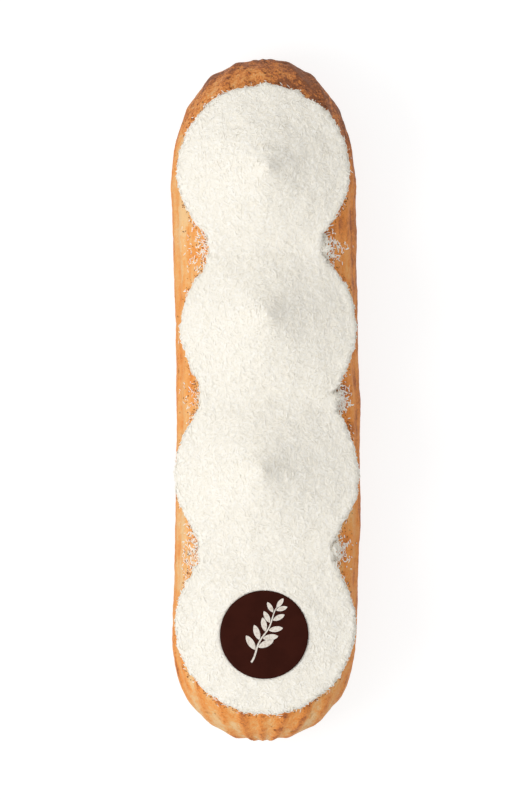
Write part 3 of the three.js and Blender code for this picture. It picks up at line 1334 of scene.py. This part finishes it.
@dataclass
class CreamRow:
    """Four dollops piped in a row along the crust, the last one flatter, with the round set in it."""

    crust: ChouxFinger
    disc: ChocolateRound
    dollops: tuple[Dollop, ...] = (
        Dollop(x=-0.4, y=50.3, radius=18.7, rise=8.5, tip=(0.6, 50.9)),
        Dollop(x=0.7, y=15.7, radius=19.1, rise=8.5, tip=(0.4, 18.6)),
        Dollop(x=0.3, y=-16.2, radius=20.0, rise=8.5, tip=(-0.7, -15.5)),
        Dollop(x=0.0, y=-49.4, radius=19.6, rise=4.2, tip=None),
    )
    neck_blend: float = 8.8
    rise_blend: float = 1.2
    flank_power: float = 1.2
    tip_height: float = 1.8
    tip_spread: float = 3.4
    tip_power: float = 1.3
    rim_height: float = 0.8
    rim_width: float = 0.6
    edge_drop: float = 0.2
    tuck_across: float = 0.45
    tuck_along: float = 0.88
    foot_inset: float = 3.0
    foot_depth: float = 1.0
    pocket_gap: float = 0.05
    pocket_wall: Span = (-0.35, 0.05)
    pocket_calm: float = 0.6
    neck_overlap: float = 1.6
    neck_seam: float = 0.2
    neck_dip: float = 0.4
    ragged: float = 0.7
    bites: Lumps = Lumps(0.6, 3.1, 6.6)
    nicks: Lumps = Lumps(0.5, 1.2, 7.7)
    clots: Lumps = Lumps(0.28, 3.4, 2.9)
    meal: Lumps = Lumps(0.14, 0.9, 6.1)
    rim_calm: float = 0.65
    rim_turn: float = 0.8
    rim_slack: float = 1e-4
    turn_digits: int = 5
    wall_rows: float = 0.35
    coated_curve: float = 1.2
    spokes: int = 190
    rows: int = 110
    reach_spare: float = 3.0
    halvings: int = 26
    finish: CreamFinish = CreamFinish()

    @property
    def necks(self) -> list[float]:
        """Stations of the necks, where two neighbouring outlines are equally near."""
        pairs = zip(self.dollops, self.dollops[1:])
        return [(far.y + near.y - far.radius + near.radius) / 2.0 for far, near in pairs]

    def edge(self, x: Array, y: Array) -> Array:
        """Distance in plan to the outline of the joined dollops.

        Args:
            x: Places across.
            y: Stations along.

        Returns:
            The distance, negative inside.
        """
        nearest = None
        for dollop in self.dollops:
            away = np.hypot(x - dollop.x, y - dollop.y) - dollop.radius
            nearest = away if nearest is None else soft_min(nearest, away, self.neck_blend)
        return nearest

    def rough_edge(self, x: Array, y: Array) -> Array:
        """The same distance to an outline that is a little ragged.

        Args:
            x: Places across.
            y: Stations along.

        Returns:
            The distance, negative inside.
        """
        plan = np.column_stack([x, y, np.zeros(len(x))])
        return self.edge(x, y) + self.ragged * (self.bites.at(plan) + self.nicks.at(plan))

    def rimward(self, x: Array, y: Array) -> Array:
        """How far places lie into the rounding of the edge: 0 inside it, 1 on the outline."""
        return 1.0 - np.clip(-self.rough_edge(x, y) / self.rim_width, 0.0, 1.0)

    def flank(self, share: Array) -> Array:
        """Level of a flank, a little hollow: -1 at a dollop's top, 0 on its outline, positive outside."""
        return np.maximum(share - 1.0, 0.0) - np.maximum(1.0 - share, 0.0) ** self.flank_power

    def top(self, x: Array, y: Array) -> Array:
        """Height of the cream's smooth upper side, with a pocket where the round lies in it.

        Args:
            x: Places across.
            y: Stations along.

        Returns:
            The height at each place.
        """
        middle = self.crust.middle(y)
        under = self.crust.top(middle + self.tuck_across * (x - middle), self.tuck_along * y)
        rim = self.rim_height * np.sqrt(1.0 - self.rimward(x, y) ** 2)
        drop = None
        tips = np.zeros_like(x)
        for dollop in self.dollops:
            fall = dollop.rise * self.flank(dollop.out_share(x, y))
            drop = fall if drop is None else soft_min(drop, fall, self.rise_blend)
            if dollop.tip:
                away = np.hypot(x - dollop.tip[0], y - dollop.tip[1]) / self.tip_spread
                tips += self.tip_height * np.exp(-(away**self.tip_power))
        free = under - self.edge_drop + rim + np.maximum(0.0, -drop) + tips
        from_disc = np.hypot(x - self.disc.x, y - self.disc.y) - self.disc.radius
        pocket = np.maximum(0.0, free - self.disc.floor(y) + self.pocket_gap)
        return free - pocket * (1.0 - smooth_step(*self.pocket_wall, from_disc))

    def reach(self, index: int, turn: Array) -> tuple[Array, Array]:
        """How far a dollop reaches from its centre.

        Args:
            index: Which dollop.
            turn: Directions in plan.

        Returns:
            The distance to the outline or to just past a neck, and whether the neck came first.
        """
        dollop = self.dollops[index]
        cx, cy = dollop.centre
        inside = np.zeros_like(turn)
        outside = np.full_like(turn, dollop.radius + self.reach_spare)
        for _ in range(self.halvings):
            half = (inside + outside) / 2.0
            within = self.rough_edge(cx + half * np.cos(turn), cy + half * np.sin(turn)) < 0.0
            inside = np.where(within, half, inside)
            outside = np.where(within, outside, half)
        to_neck = np.full_like(turn, np.inf)
        rising = np.sin(turn)
        if index > 0:
            rise = self.necks[index - 1] + self.neck_overlap - cy
            to_neck = np.where(rising > TINY, rise / np.maximum(rising, TINY), to_neck)
        if index < len(self.necks):
            fall = self.necks[index] - self.neck_overlap - cy
            to_neck = np.where(rising < -TINY, fall / np.minimum(rising, -TINY), to_neck)
        return np.minimum(inside, to_neck), to_neck < inside

    def past_neck(self, index: int, y: Array) -> Array:
        """How far stations lie past the nearer neck of a dollop.

        Args:
            index: Which dollop.
            y: Stations along.

        Returns:
            The distance, negative on the dollop's own side.
        """
        far = self.necks[index - 1] if index > 0 else math.inf
        near = self.necks[index] if index < len(self.necks) else -math.inf
        return np.maximum(y - far, near - y)

    def lay_out(self, index: int, sphere: Array) -> DollopGrid:
        """Sorts the points of a unit sphere into spokes and rows.

        Args:
            index: Which dollop.
            sphere: The points, with a pole at the top.

        Returns:
            What each point is to the dollop.
        """
        turn = np.round(np.arctan2(sphere[:, 1], sphere[:, 0]), self.turn_digits)
        spokes, spoke = np.unique(turn, return_inverse=True)
        reach, at_neck = (values[spoke] for values in self.reach(index, spokes))
        down = np.arccos(np.clip(sphere[:, 2], -1.0, 1.0)) / (math.pi / 2.0)
        return DollopGrid(
            centre=np.array(self.dollops[index].centre),
            ahead=np.column_stack([np.cos(turn), np.sin(turn)]),
            reach=reach,
            at_neck=at_neck,
            down=down,
            upper=down <= 1.0 + self.rim_slack,
            curve=np.clip((down - 1.0) / self.wall_rows, 0.0, 1.0) * math.pi / 2.0,
            below=np.clip((down - 1.0 - self.wall_rows) / (1.0 - self.wall_rows), 0.0, 1.0),
        )

    def smooth_form(self, grid: DollopGrid) -> Array:
        """A dollop without relief: its upper side, a side that curves in below the edge, and a foot.

        Args:
            grid: The dollop's spokes and rows.

        Returns:
            The place of each point.
        """
        inset = np.where(grid.at_neck, 0.0, self.foot_inset)
        side = (grid.reach - inset * (1.0 - np.cos(grid.curve))) * (1.0 - grid.below)
        x, y = grid.plan(np.where(grid.upper, grid.down * grid.reach, side))
        rim = self.top(*grid.plan(grid.reach))
        sole = self.crust.top(*grid.plan(grid.reach - inset))
        foot = np.minimum(rim, np.where(grid.below > 0.0, self.crust.top(x, y), sole) - self.foot_depth)
        z = np.where(grid.upper, self.top(x, y), rim + (foot - rim) * np.sin(grid.curve))
        return np.column_stack([x, y, z])

    def relief(self, grid: DollopGrid, places: Array) -> Array:
        """Clots and meal on the cream, calmer at its rim and absent under the round.

        Args:
            grid: The dollop's spokes and rows.
            places: The points on the smooth form.

        Returns:
            The shift of each point.
        """
        x, y, _ = places.T
        outward = np.where(grid.upper, self.rimward(x, y) ** 2, np.cos(grid.curve))
        upward = np.where(grid.upper, 1.0 - self.rim_turn * outward, -np.sin(grid.curve))
        lie = unit(np.column_stack([grid.ahead * outward[:, None], upward]))
        rise = (self.clots.at(places) + self.meal.at(places)) * (1.0 - self.rim_calm * outward)
        under_disc = np.hypot(x - self.disc.x, y - self.disc.y) < self.disc.radius + self.pocket_calm
        return lie * np.where((grid.below <= 0.0) & ~under_disc, rise, 0.0)[:, None]

    def build(self, index: int) -> bpy.types.Mesh:
        """Makes one dollop.

        Args:
            index: Which dollop, from the far end.

        Returns:
            A closed mesh whose coat attribute is 1 where coconut can lie.
        """
        bm = bmesh.new()
        bmesh.ops.create_uvsphere(bm, u_segments=self.spokes, v_segments=self.rows, radius=1.0)
        grid = self.lay_out(index, np.array([vert.co for vert in bm.verts]))
        places = self.smooth_form(grid)
        past = self.past_neck(index, places[:, 1])
        places[:, 2] -= self.neck_dip * smooth_step(self.neck_seam, self.neck_overlap, past)
        move_points(bm, places + self.relief(grid, places))
        bmesh.ops.recalc_face_normals(bm, faces=bm.faces)
        mesh = mesh_from(bm, f"cream_{index + 1}")
        coated = grid.upper | ~grid.at_neck & (grid.curve < self.coated_curve)
        store(mesh, "coat", (coated & (past < self.neck_seam)).astype(float))
        return mesh

    def dress(self) -> list[bpy.types.Object]:
        """Makes the dollops' pieces.

        Returns:
            One piece for each dollop, from the far end.
        """
        finish = self.finish.material()
        pieces = []
        for index in range(len(self.dollops)):
            pieces.append(add_piece(self.build(index), finish, [f"cream_dollop_{index + 1}"]))
        return pieces


# Coconut


@dataclass(frozen=True)
class CutSizes:
    """Number and sizes of strewn pieces, and how they lie.

    The lean is their greatest tilt out of the surface, and keep_off their least gap to the round.
    """

    count: int
    length: Span
    width: Span
    thickness: Span
    segments: int
    lean: float
    curl: float = 0.0
    keep_off: float = 0.0


class Cut(Enum):
    """Cuts of coconut in the coating, from meal to long shreds."""

    GRAIN = CutSizes(
        count=16000,
        length=(0.3, 0.7),
        width=(0.22, 0.4),
        thickness=(0.06, 0.1),
        segments=1,
        lean=0.14,
        keep_off=0.1,
    )
    CHIP = CutSizes(
        count=9500,
        length=(0.6, 1.2),
        width=(0.3, 0.55),
        thickness=(0.06, 0.1),
        segments=2,
        lean=0.12,
        curl=0.06,
        keep_off=0.3,
    )
    SHRED = CutSizes(
        count=6500,
        length=(0.9, 1.9),
        width=(0.2, 0.34),
        thickness=(0.07, 0.12),
        segments=3,
        lean=0.12,
        curl=0.06,
        keep_off=0.5,
    )


class Litter(Enum):
    """What lies on the crust beside the cream."""

    FLAKE = CutSizes(
        count=200,
        length=(0.3, 1.0),
        width=(0.1, 0.22),
        thickness=(0.05, 0.09),
        segments=2,
        lean=0.2,
        curl=0.08,
    )
    HEAP = CutSizes(
        count=480,
        length=(0.4, 1.2),
        width=(0.16, 0.34),
        thickness=(0.06, 0.1),
        segments=2,
        lean=0.4,
        curl=0.08,
    )
    # Crumbs of crust, whose dark ones also stand in for the shade along the cream's edge.
    CRUMB_AND_SHADE = CutSizes(
        count=850,
        length=(0.15, 0.42),
        width=(0.12, 0.28),
        thickness=(0.1, 0.2),
        segments=1,
        lean=0.4,
    )


@dataclass
class Spots:
    """Places on a surface, each with its normal."""

    points: Array
    normals: Array

    @staticmethod
    def over(meshes: Sequence[bpy.types.Mesh], count: int, rng: np.random.Generator) -> "Spots":
        """Strews places evenly over the coated faces of some meshes.

        Args:
            meshes: Meshes with a coat attribute, in metres.
            count: How many places.
            rng: Source of the random draws.

        Returns:
            The places, in millimetres.
        """
        corners, normals, weights = [], [], []
        for mesh in meshes:
            mesh.calc_loop_triangles()
            index = np.empty(len(mesh.loop_triangles) * 3, np.int32)
            mesh.loop_triangles.foreach_get("vertices", index)
            # The order of the faces can change from run to run, so the triangles are sorted.
            index = np.sort(index.reshape(-1, 3), axis=1)
            index = index[np.lexsort(index.T)]
            co = np.empty(len(mesh.vertices) * 3, np.float32)
            mesh.vertices.foreach_get("co", co)
            normal = np.empty(len(mesh.vertices) * 3, np.float32)
            mesh.vertex_normals.foreach_get("vector", normal)
            coat = np.empty(len(mesh.vertices), np.float32)
            mesh.attributes["coat"].data.foreach_get("value", coat)
            triangle = co.reshape(-1, 3)[index] / MM
            first, second = triangle[:, 1] - triangle[:, 0], triangle[:, 2] - triangle[:, 0]
            area = np.linalg.norm(np.cross(first, second), axis=1)
            corners.append(triangle)
            normals.append(normal.reshape(-1, 3)[index])
            weights.append(area * (coat[index].min(axis=1) > 0.5))
        corner, normal, weight = (np.concatenate(rows) for rows in (corners, normals, weights))
        chosen = np.searchsorted(np.cumsum(weight) / weight.sum(), rng.random(count))
        first, second = rng.random((2, count))
        fold = first + second > 1.0
        first, second = np.where(fold, 1.0 - first, first), np.where(fold, 1.0 - second, second)
        shares = np.stack([1.0 - first - second, first, second], axis=1)[:, :, None]
        return Spots((corner[chosen] * shares).sum(axis=1), unit((normal[chosen] * shares).sum(axis=1)))

    def where(self, keep: Array) -> "Spots":
        """The places for which keep is true."""
        return Spots(self.points[keep], self.normals[keep])


@dataclass(frozen=True)
class StripShapes:
    """Measures of many bent strips: arrays with one number for each strip."""

    length: Array
    width: Array
    thickness: Array
    curl: Array
    bow: Array
    twist: Array

    def corners(self, segments: int, taper: float) -> tuple[Array, Array, Array]:
        """Corners of the strips' four-sided sections.

        Args:
            segments: Stretches along each strip.
            taper: How much slimmer the ends are than the middle.

        Returns:
            Places along, across and up in each strip's own frame, as strips by sections by corners.
        """
        measures = (self.length, self.width, self.thickness, self.curl, self.bow, self.twist)
        length, width, thick, curl, bow, twist = (values[:, None, None] for values in measures)
        share = np.linspace(-0.5, 0.5, segments + 1)[None, :, None]
        endwise = (2.0 * share) ** 2
        slim = 1.0 - taper * endwise
        arch = length * (1.0 - endwise)
        turn = twist * share
        wide = width * slim * np.array([-0.5, 0.5, 0.5, -0.5])
        high = thick * slim * np.array([-0.5, -0.5, 0.5, 0.5])
        along = np.broadcast_to(length * share, wide.shape)
        across = wide * np.cos(turn) - high * np.sin(turn) + bow * arch
        up = wide * np.sin(turn) + high * np.cos(turn) + curl * arch
        return along, across, up

    def faces(self, segments: int) -> list[list[int]]:
        """Faces of the strips.

        Args:
            segments: Stretches along each strip.

        Returns:
            Four points for each face.
        """
        walls = [
            (4 * s + k, 4 * s + (k + 1) % 4, 4 * s + 4 + (k + 1) % 4, 4 * s + 4 + k)
            for s in range(segments)
            for k in range(4)
        ]
        last = 4 * segments
        one = np.array([*walls, (3, 2, 1, 0), (last, last + 1, last + 2, last + 3)])
        steps = np.arange(len(self.length))[:, None, None] * (last + 4)
        return (steps + one[None]).reshape(-1, 4).tolist()


@dataclass
class CoconutCoat:
    """Dried coconut strewn over the cream, and what has fallen beside it.

    Flakes lie scattered on the left of each neck, counted from the far end, and heaped on the right of it.
    """

    cream: CreamRow
    seed: int = 20
    taper: float = 0.4
    bow: float = 0.08
    twist: float = 0.7
    roll: float = 0.2
    curl_spread: Span = (-0.4, 1.0)
    stand_off: float = 0.3
    shag: float = 2.4
    scattered: tuple[int, ...] = (200, 80, 320)
    notch_crumbs: int = 45
    scatter_corner: float = -0.2
    scatter_spread: Span = (2.4, 1.3)
    heap_corner: float = -0.5
    heap_spread: Span = (1.5, 0.8)
    heap_height: float = 3.4
    heap_shelf: float = 1.5
    heap_steepness: float = 4.0
    heap_fill: float = 0.4
    heap_top: float = 27.8
    beside: Span = (0.1, 0.9)
    edge_tries: int = 80
    notch_steps: int = 120
    drop_height: float = 60.0
    least_level: float = 0.45
    finish: StrewnFinish = WHITE_COCONUT
    crumb_and_shade_finish: StrewnFinish = CRUMBS_AND_EDGE_SHADE
    rng: np.random.Generator = field(init=False)

    def __post_init__(self) -> None:
        """Starts the random draws."""
        self.rng = np.random.default_rng(self.seed)

    def between(self, span: Span, count: int) -> Array:
        """Even random draws within a span."""
        return self.rng.uniform(*span, count)

    def strips(self, name: str, spots: Spots, sizes: CutSizes, shag: float = 0.0) -> bpy.types.Mesh:
        """Lays a curved strip at each of some places.

        Args:
            name: Name of the mesh.
            spots: Where they lie.
            sizes: What they measure.
            shag: How many times more the strips lean out of an upright surface than out of a level one.

        Returns:
            One mesh of all the strips, with a tint for each strip.
        """
        count = len(spots.points)
        spans = (sizes.length, sizes.width, sizes.thickness)
        length, width, thickness = (self.between(span, count) for span in spans)
        upright = 1.0 - np.clip(spots.normals[:, 2], 0.0, 1.0)
        lean = self.between((-sizes.lean, sizes.lean), count) * (1.0 + shag * upright)
        roll = self.between((-self.roll, self.roll), count)
        curl = sizes.curl * self.between(self.curl_spread, count)
        bow = self.bow * self.between((-1.0, 1.0), count)
        twist = self.twist * self.between((-1.0, 1.0), count)
        shapes = StripShapes(length, width, thickness, curl, bow, twist)
        axes = self.directions(spots.normals, lean, roll)
        lift = self.stand_off * (thickness + length * np.abs(np.sin(lean)))
        places = (spots.points + spots.normals * lift[:, None])[:, None, None, :]
        for local, axis in zip(shapes.corners(sizes.segments, self.taper), axes):
            places = places + local[..., None] * axis[:, None, None, :]
        # Thousands of bent strips are too many for an operator call each.
        mesh = bpy.data.meshes.new(name)
        mesh.from_pydata(places.reshape(-1, 3).tolist(), [], shapes.faces(sizes.segments))
        store(mesh, "tint", np.repeat(self.rng.random(count), 4 * (sizes.segments + 1)))
        return mesh

    def directions(self, normals: Array, lean: Array, roll: Array) -> tuple[Array, Array, Array]:
        """Random headings on a surface.

        Args:
            normals: The surface's normals.
            lean: Tilt of each heading out of the surface.
            roll: Turn about each heading.

        Returns:
            Directions along, across and up from each strip.
        """
        aim = self.rng.normal(size=normals.shape)
        flat = unit(aim - normals * (aim * normals).sum(axis=1, keepdims=True))
        side = np.cross(normals, flat)
        along = flat * np.cos(lean)[:, None] + normals * np.sin(lean)[:, None]
        up = normals * np.cos(lean)[:, None] - flat * np.sin(lean)[:, None]
        across = side * np.cos(roll)[:, None] + up * np.sin(roll)[:, None]
        return along, across, np.cross(along, across)

    def coat(self, cut: Cut, meshes: Sequence[bpy.types.Mesh]) -> bpy.types.Mesh:
        """Strews one cut of coconut over the cream.

        Args:
            cut: Which cut.
            meshes: The dollops' meshes.

        Returns:
            One mesh of all its pieces.
        """
        spots = Spots.over(meshes, cut.value.count, self.rng)
        disc = self.cream.disc
        away = np.hypot(spots.points[:, 0] - disc.x, spots.points[:, 1] - disc.y)
        clear = spots.where(away > disc.radius + cut.value.keep_off)
        return self.strips(f"coconut_{cut.name.lower()}s", clear, cut.value, self.shag)

    def landed(self, crust: bpy.types.Object, plan: Array, lift: Array | float = 0.0) -> Spots:
        """Lets things drop on the crust.

        Args:
            crust: The finished crust.
            plan: Rows of x and y.
            lift: Height over the crust at which each comes to rest.

        Returns:
            Where they lie, without those that would slide off.
        """
        tree = BVHTree.FromObject(crust, bpy.context.evaluated_depsgraph_get())
        points, normals = [], []
        for (x, y), high in zip(plan.tolist(), np.broadcast_to(lift, len(plan)).tolist()):
            above = Vector((x, y, self.drop_height)) * MM
            place, normal, _, _ = tree.ray_cast(above, Vector((0.0, 0.0, -1.0)))
            if place is not None and normal.z > self.least_level:
                points.append(place / MM + Vector((0.0, 0.0, high)))
                normals.append(normal)
        return Spots(np.array(points), np.array(normals))

    def in_notch(self, neck: float, side: float, count: int, corner: float, spread: Span) -> Array:
        """Random places in the notch beside a neck, thickest in its corner.

        Args:
            neck: Station of the neck.
            side: -1 for the left, 1 for the right.
            count: How many places.
            corner: Distance from the cream's edge at which they start, negative inside.
            spread: Usual distance from there along the eclair and outwards.

        Returns:
            Rows of x and y.
        """
        rows = neck + spread[0] * self.rng.normal(size=count)
        gaps = corner + self.rng.exponential(spread[1], count)
        return np.array([(self.notch_place(y, side, gap), y) for y, gap in zip(rows, gaps)])

    def along_edge(self, count: int) -> Array:
        """Random places close to the edge of the cream, all round it.

        Args:
            count: How many places.

        Returns:
            Rows of x and y.
        """
        half = np.array([self.cream.crust.half_width, self.cream.crust.half_length])
        plan = half * self.rng.uniform(-1.0, 1.0, (self.edge_tries * count, 2))
        edge = self.cream.rough_edge(*plan.T)
        return plan[(edge > self.beside[0]) & (edge < self.beside[1])][:count]

    def fallen(self, crust: bpy.types.Object) -> bpy.types.Mesh:
        """Strews single flakes over the crust, along the edge of the cream and on the left of each neck.

        Args:
            crust: The finished crust.

        Returns:
            One mesh of all the flakes.
        """
        strewn = [self.along_edge(Litter.FLAKE.value.count)]
        for neck, count in zip(self.cream.necks, self.scattered):
            strewn.append(self.in_notch(neck, -1.0, count, self.scatter_corner, self.scatter_spread))
        return self.strips("fallen_flakes", self.landed(crust, np.concatenate(strewn)), Litter.FLAKE.value)

    def heaps(self, crust: bpy.types.Object) -> bpy.types.Mesh:
        """Heaps flakes against the cream on the right of each neck.

        Args:
            crust: The finished crust.

        Returns:
            One mesh of all the flakes.
        """
        count = Litter.HEAP.value.count
        necks = self.cream.necks
        strewn = [self.in_notch(neck, 1.0, count, self.heap_corner, self.heap_spread) for neck in necks]
        plan = np.concatenate(strewn)
        gap = np.maximum(0.0, self.cream.edge(*plan.T)) / self.heap_shelf
        away = (plan[:, 1] - np.repeat(necks, count)) / self.heap_spread[0]
        room = np.minimum(self.heap_height, self.heap_top - self.cream.crust.top(*plan.T))
        slope = np.exp(-(gap**self.heap_steepness) - 0.5 * away**2)
        lift = np.maximum(0.0, room) * slope * self.rng.random(len(plan)) ** self.heap_fill
        return self.strips("heaped_flakes", self.landed(crust, plan, lift), Litter.HEAP.value)

    def crumbs(self, crust: bpy.types.Object) -> bpy.types.Mesh:
        """Strews crumbs of crust along the edge of the cream, more of them in the notches; the dark ones
        stand in for the shade along that edge and between the fallen flakes.

        Args:
            crust: The finished crust.

        Returns:
            One mesh of all the crumbs.
        """
        spread = (self.notch_crumbs, self.scatter_corner, self.scatter_spread)
        # The crumbs along the edge make a dark line of painted shade where the cream meets the crust.
        strewn = [self.along_edge(Litter.CRUMB_AND_SHADE.value.count)]
        for neck in self.cream.necks:
            strewn.extend(self.in_notch(neck, side, *spread) for side in (-1.0, 1.0))
        return self.strips("crumbs_and_edge_shade", self.landed(crust, np.concatenate(strewn)), Litter.CRUMB_AND_SHADE.value)

    def notch_place(self, y: float, side: float, gap: float) -> float:
        """Place across the crust at a distance from the cream's edge.

        Args:
            y: Station along.
            side: -1 for the left, 1 for the right.
            gap: Distance outside the edge, negative inside.

        Returns:
            The place across.
        """
        across = np.linspace(0.0, self.cream.crust.half_width, self.notch_steps)
        edge = self.cream.edge(side * across, np.full_like(across, y))
        return side * float(np.interp(gap, edge, across))

    def dress(
        self, crust: bpy.types.Object, dollops: Sequence[bpy.types.Object]
    ) -> list[bpy.types.Object]:
        """Coats the cream, and lets flakes and crumbs fall beside it.

        Args:
            crust: The crust's piece.
            dollops: The dollops' pieces.

        Returns:
            A piece for each cut of coconut, then the fallen flakes, the heaps and the crumbs.
        """
        finish = self.finish.material()
        creams = [dollop.data for dollop in dollops]
        pieces = [add_piece(self.coat(cut, creams), finish) for cut in Cut]
        pieces.append(add_piece(self.fallen(crust), finish))
        pieces.append(add_piece(self.heaps(crust), finish))
        pieces.append(add_piece(self.crumbs(crust), self.crumb_and_shade_finish.material()))
        return pieces


# Studio


@dataclass(frozen=True)
class Softbox:
    """A square soft light aimed at the eclair: where it stands, how wide it is and its power in watts."""

    name: str
    azimuth: float
    elevation: float
    distance: float
    width: float
    power: float

    def add(self, aim: Vector) -> None:
        """Hangs the light.

        Args:
            aim: The point that it faces.
        """
        lamp = bpy.data.lights.new(self.name, "AREA")
        lamp.size = self.width
        lamp.energy = self.power
        turn, rise = math.radians(self.azimuth), math.radians(self.elevation)
        way = Vector((math.cos(turn) * math.cos(rise), math.sin(turn) * math.cos(rise), math.sin(rise)))
        light = bpy.data.objects.new(self.name, lamp)
        light.location = aim + way * self.distance
        light.rotation_euler = (-way).to_track_quat("-Z", "Y").to_euler()
        light.visible_camera = False
        bpy.context.scene.collection.objects.link(light)


@dataclass
class Studio:
    """White floor, soft light from the left and a camera straight above."""

    picture_height: float = 175.95
    offset: tuple[float, float] = (-1.1, -0.11)
    outline_level: float = 12.0
    distance: float = 5.0
    sensor: float = 36.0
    floor_size: float = 20.0
    sky: float = 0.76
    sky_slope: float = 0.2
    sky_below: float = 0.6
    horizon: Span = (-0.05, 0.05)
    key: Softbox = Softbox("key_light", azimuth=195.0, elevation=52.0, distance=0.9, width=0.4, power=2.35)

    def add_floor(self) -> None:
        """Lays the white floor under the base."""
        bm = bmesh.new()
        bmesh.ops.create_grid(bm, x_segments=1, y_segments=1, size=self.floor_size / 2.0)
        mesh = mesh_from(bm, "floor")
        mesh.materials.append(FloorFinish().material())
        floor = bpy.data.objects.new("floor", mesh)
        bpy.context.scene.collection.objects.link(floor)
        floor.visible_diffuse = False

    def add_sky(self) -> None:
        """Surrounds the scene with soft white light, stronger on the key light's side and from above."""
        world = bpy.data.worlds.new("studio_white")
        graph = Graph(world)
        way = graph.node("ShaderNodeTexCoord", {}, {}, "Generated")
        turn = math.radians(self.key.azimuth)
        lit_side = (math.cos(turn), math.sin(turn), 0.0)
        dot = {"operation": "DOT_PRODUCT"}
        slant = graph.node("ShaderNodeVectorMath", dot, {0: way, 1: lit_side}, "Value")
        rise = graph.node("ShaderNodeSeparateXYZ", {}, {0: way}, "Z")
        above = blend((self.sky_below, 1.0), rise.eased(*self.horizon))
        strength = self.sky * above * (1.0 + self.sky_slope * slant)
        light = graph.node("ShaderNodeBackground", {}, {"Color": (*WHITE, 1.0), "Strength": strength})
        graph.close("ShaderNodeOutputWorld", light)
        bpy.context.scene.world = world

    def add_camera(self) -> None:
        """Hangs the camera over the eclair, its upper edge towards +Y."""
        data = bpy.data.cameras.new("photo_camera")
        data.sensor_width = self.sensor
        data.lens = self.sensor * self.distance / (self.picture_height * MM)
        camera = bpy.data.objects.new("photo_camera", data)
        aim = Vector((*self.offset, self.outline_level)) * MM
        camera.location = aim + Vector((0.0, 0.0, self.distance))
        bpy.context.scene.collection.objects.link(camera)
        bpy.context.scene.camera = camera

    def build(self) -> None:
        """Sets up the floor, the light and the camera."""
        self.add_floor()
        self.add_sky()
        self.key.add(Vector((0.0, 0.0, 0.0)))
        self.add_camera()
        bpy.context.scene.view_settings.view_transform = "Standard"


# The whole eclair


def main() -> None:
    """Builds the eclair from the crust up, then the studio round it."""
    finger = ChouxFinger()
    crust = finger.dress()
    disc = ChocolateRound()
    pieces = [crust, disc.dress(), PrintedSprig(disc).dress()]
    cream = CreamRow(finger, disc)
    dollops = cream.dress()
    pieces += [*dollops, *CoconutCoat(cream).dress(crust, dollops)]
    for piece in pieces:
        log.info("%s: %d faces", piece.name, len(piece.data.polygons))
    Studio().build()


if __name__ == "__main__":
    main()
